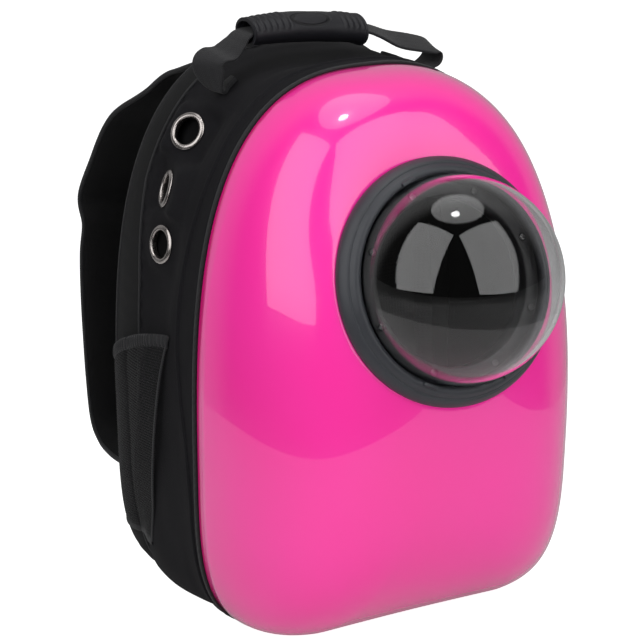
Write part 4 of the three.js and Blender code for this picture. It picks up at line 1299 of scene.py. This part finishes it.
def soft_box(name, low_edge, high_edge, glow):
    """A panel light between two edges, each given by its two ends; glow is its brightness."""
    a, b, c, d = (Vector(p) for p in (*low_edge, *high_edge))
    centre = (a + b + c + d) / 4
    across = ((b - a) + (d - c)) / 2
    upward = ((c - a) + (d - b)) / 2
    x_axis = across.normalized()
    y_axis = (upward - x_axis * upward.dot(x_axis)).normalized()
    z_axis = x_axis.cross(y_axis)
    if z_axis.dot(centre - Vector((0, 0, 0.2))) < 0:
        x_axis, z_axis = -x_axis, -z_axis
    light = bpy.data.objects.new(name, bpy.data.lights.new(name, "AREA"))
    bpy.context.scene.collection.objects.link(light)
    light.data.shape = "RECTANGLE"
    light.data.size, light.data.size_y = across.length, upward.length
    light.data.energy = math.pi * across.length * upward.length * glow
    light.matrix_world = Matrix.Translation(centre) @ Matrix((x_axis, y_axis, z_axis)).transposed().to_4x4()
    light.visible_camera = False
    return light


def build_floor():
    """A floor that looks white and lights little; only the table round the object shows in reflections."""
    paint = Paint("pale_floor", Roughness=0.7, Emission_Strength=1.0)
    cloud = paint.noise(paint.space(), 3.0)
    paint.feed("Base Color", paint.blend(cloud, (0.50, 0.50, 0.50), (0.54, 0.54, 0.54)))
    seen = paint.node("LightPath")
    paint.feed("Emission Color", paint.blend(seen, (FLOOR_GLOW,) * 3, (1, 1, 1)))
    for name, radius, drop in (("floor", 6.0, 0.0008), ("table", TABLE_RADIUS, 0.0004)):
        floor = primitive(name, bpy.ops.mesh.primitive_circle_add, vertices=96, radius=radius,
                          fill_type="NGON", location=(0, 0, -drop))
        floor.data.materials.append(paint.material)
        floor.visible_glossy = name == "table"


def build_world():
    """White to look at; white behind the object and dim in front of it for what it lights."""
    world = bpy.data.worlds.new("studio")
    bpy.context.scene.world = world
    world.use_nodes = True
    tree = world.node_tree
    shader = tree.nodes["Background"]
    place = tree.nodes.new("ShaderNodeTexCoord")
    turn = tree.nodes.new("ShaderNodeVectorMath")
    turn.operation = "DOT_PRODUCT"
    turn.inputs[1].default_value = BACKDROP_SIDE
    tree.links.new(place.outputs["Generated"], turn.inputs[0])
    fade = tree.nodes.new("ShaderNodeMapRange")
    fade.interpolation_type = "SMOOTHSTEP"
    limits = {"From Min": 0.10, "From Max": 0.45, "To Min": ROOM_GLOW, "To Max": BACKDROP_GLOW}
    for key, value in limits.items():
        fade.inputs[key].default_value = value
    tree.links.new(turn.outputs["Value"], fade.inputs["Value"])
    path = tree.nodes.new("ShaderNodeLightPath")
    pick = tree.nodes.new("ShaderNodeMix")
    tree.links.new(path.outputs["Is Camera Ray"], pick.inputs[0])
    tree.links.new(fade.outputs[0], pick.inputs[2])
    pick.inputs[3].default_value = 1.0
    shader.inputs["Color"].default_value = (1, 1, 1, 1)
    tree.links.new(pick.outputs[0], shader.inputs["Strength"])
    bpy.context.scene.view_settings.view_transform = "Standard"


def build_lights():
    soft_box("left_panel", ((-1.417, -1.071, 0.258), (-1.613, 0.192, 0.267)),
             ((-0.477, -0.656, 1.808), (-0.800, 0.341, 1.632)), PANEL_GLOW)
    soft_box("right_panel", ((-0.377, -1.816, 0.288), (0.846, -1.616, 0.222)),
             ((-0.332, -0.809, 1.792), (0.805, -0.558, 1.680)), PANEL_GLOW)
    for name, (x, y), reach, z, glow in (("overhead", (0.13, 0.10), 0.65, 1.95, OVERHEAD_GLOW),
                                         ("overhead_lamp", (-0.07, -0.13), 0.10, 1.90, LAMP_GLOW)):
        near, far = [[(x + side * reach, y + ahead * reach, z) for side in (-1, 1)] for ahead in (-1, 1)]
        soft_box(name, near, far, glow).data.shape = "ELLIPSE"
    fill = soft_box("fill", ((-2.2, -2.6, 0.1), (0.6, -3.4, 0.1)),
                    ((-2.2, -2.6, 2.2), (0.6, -3.4, 2.2)), FILL_GLOW)
    fill.visible_glossy = False
    fill.visible_transmission = False


place_camera()
build_lights()
build_floor()
build_world()
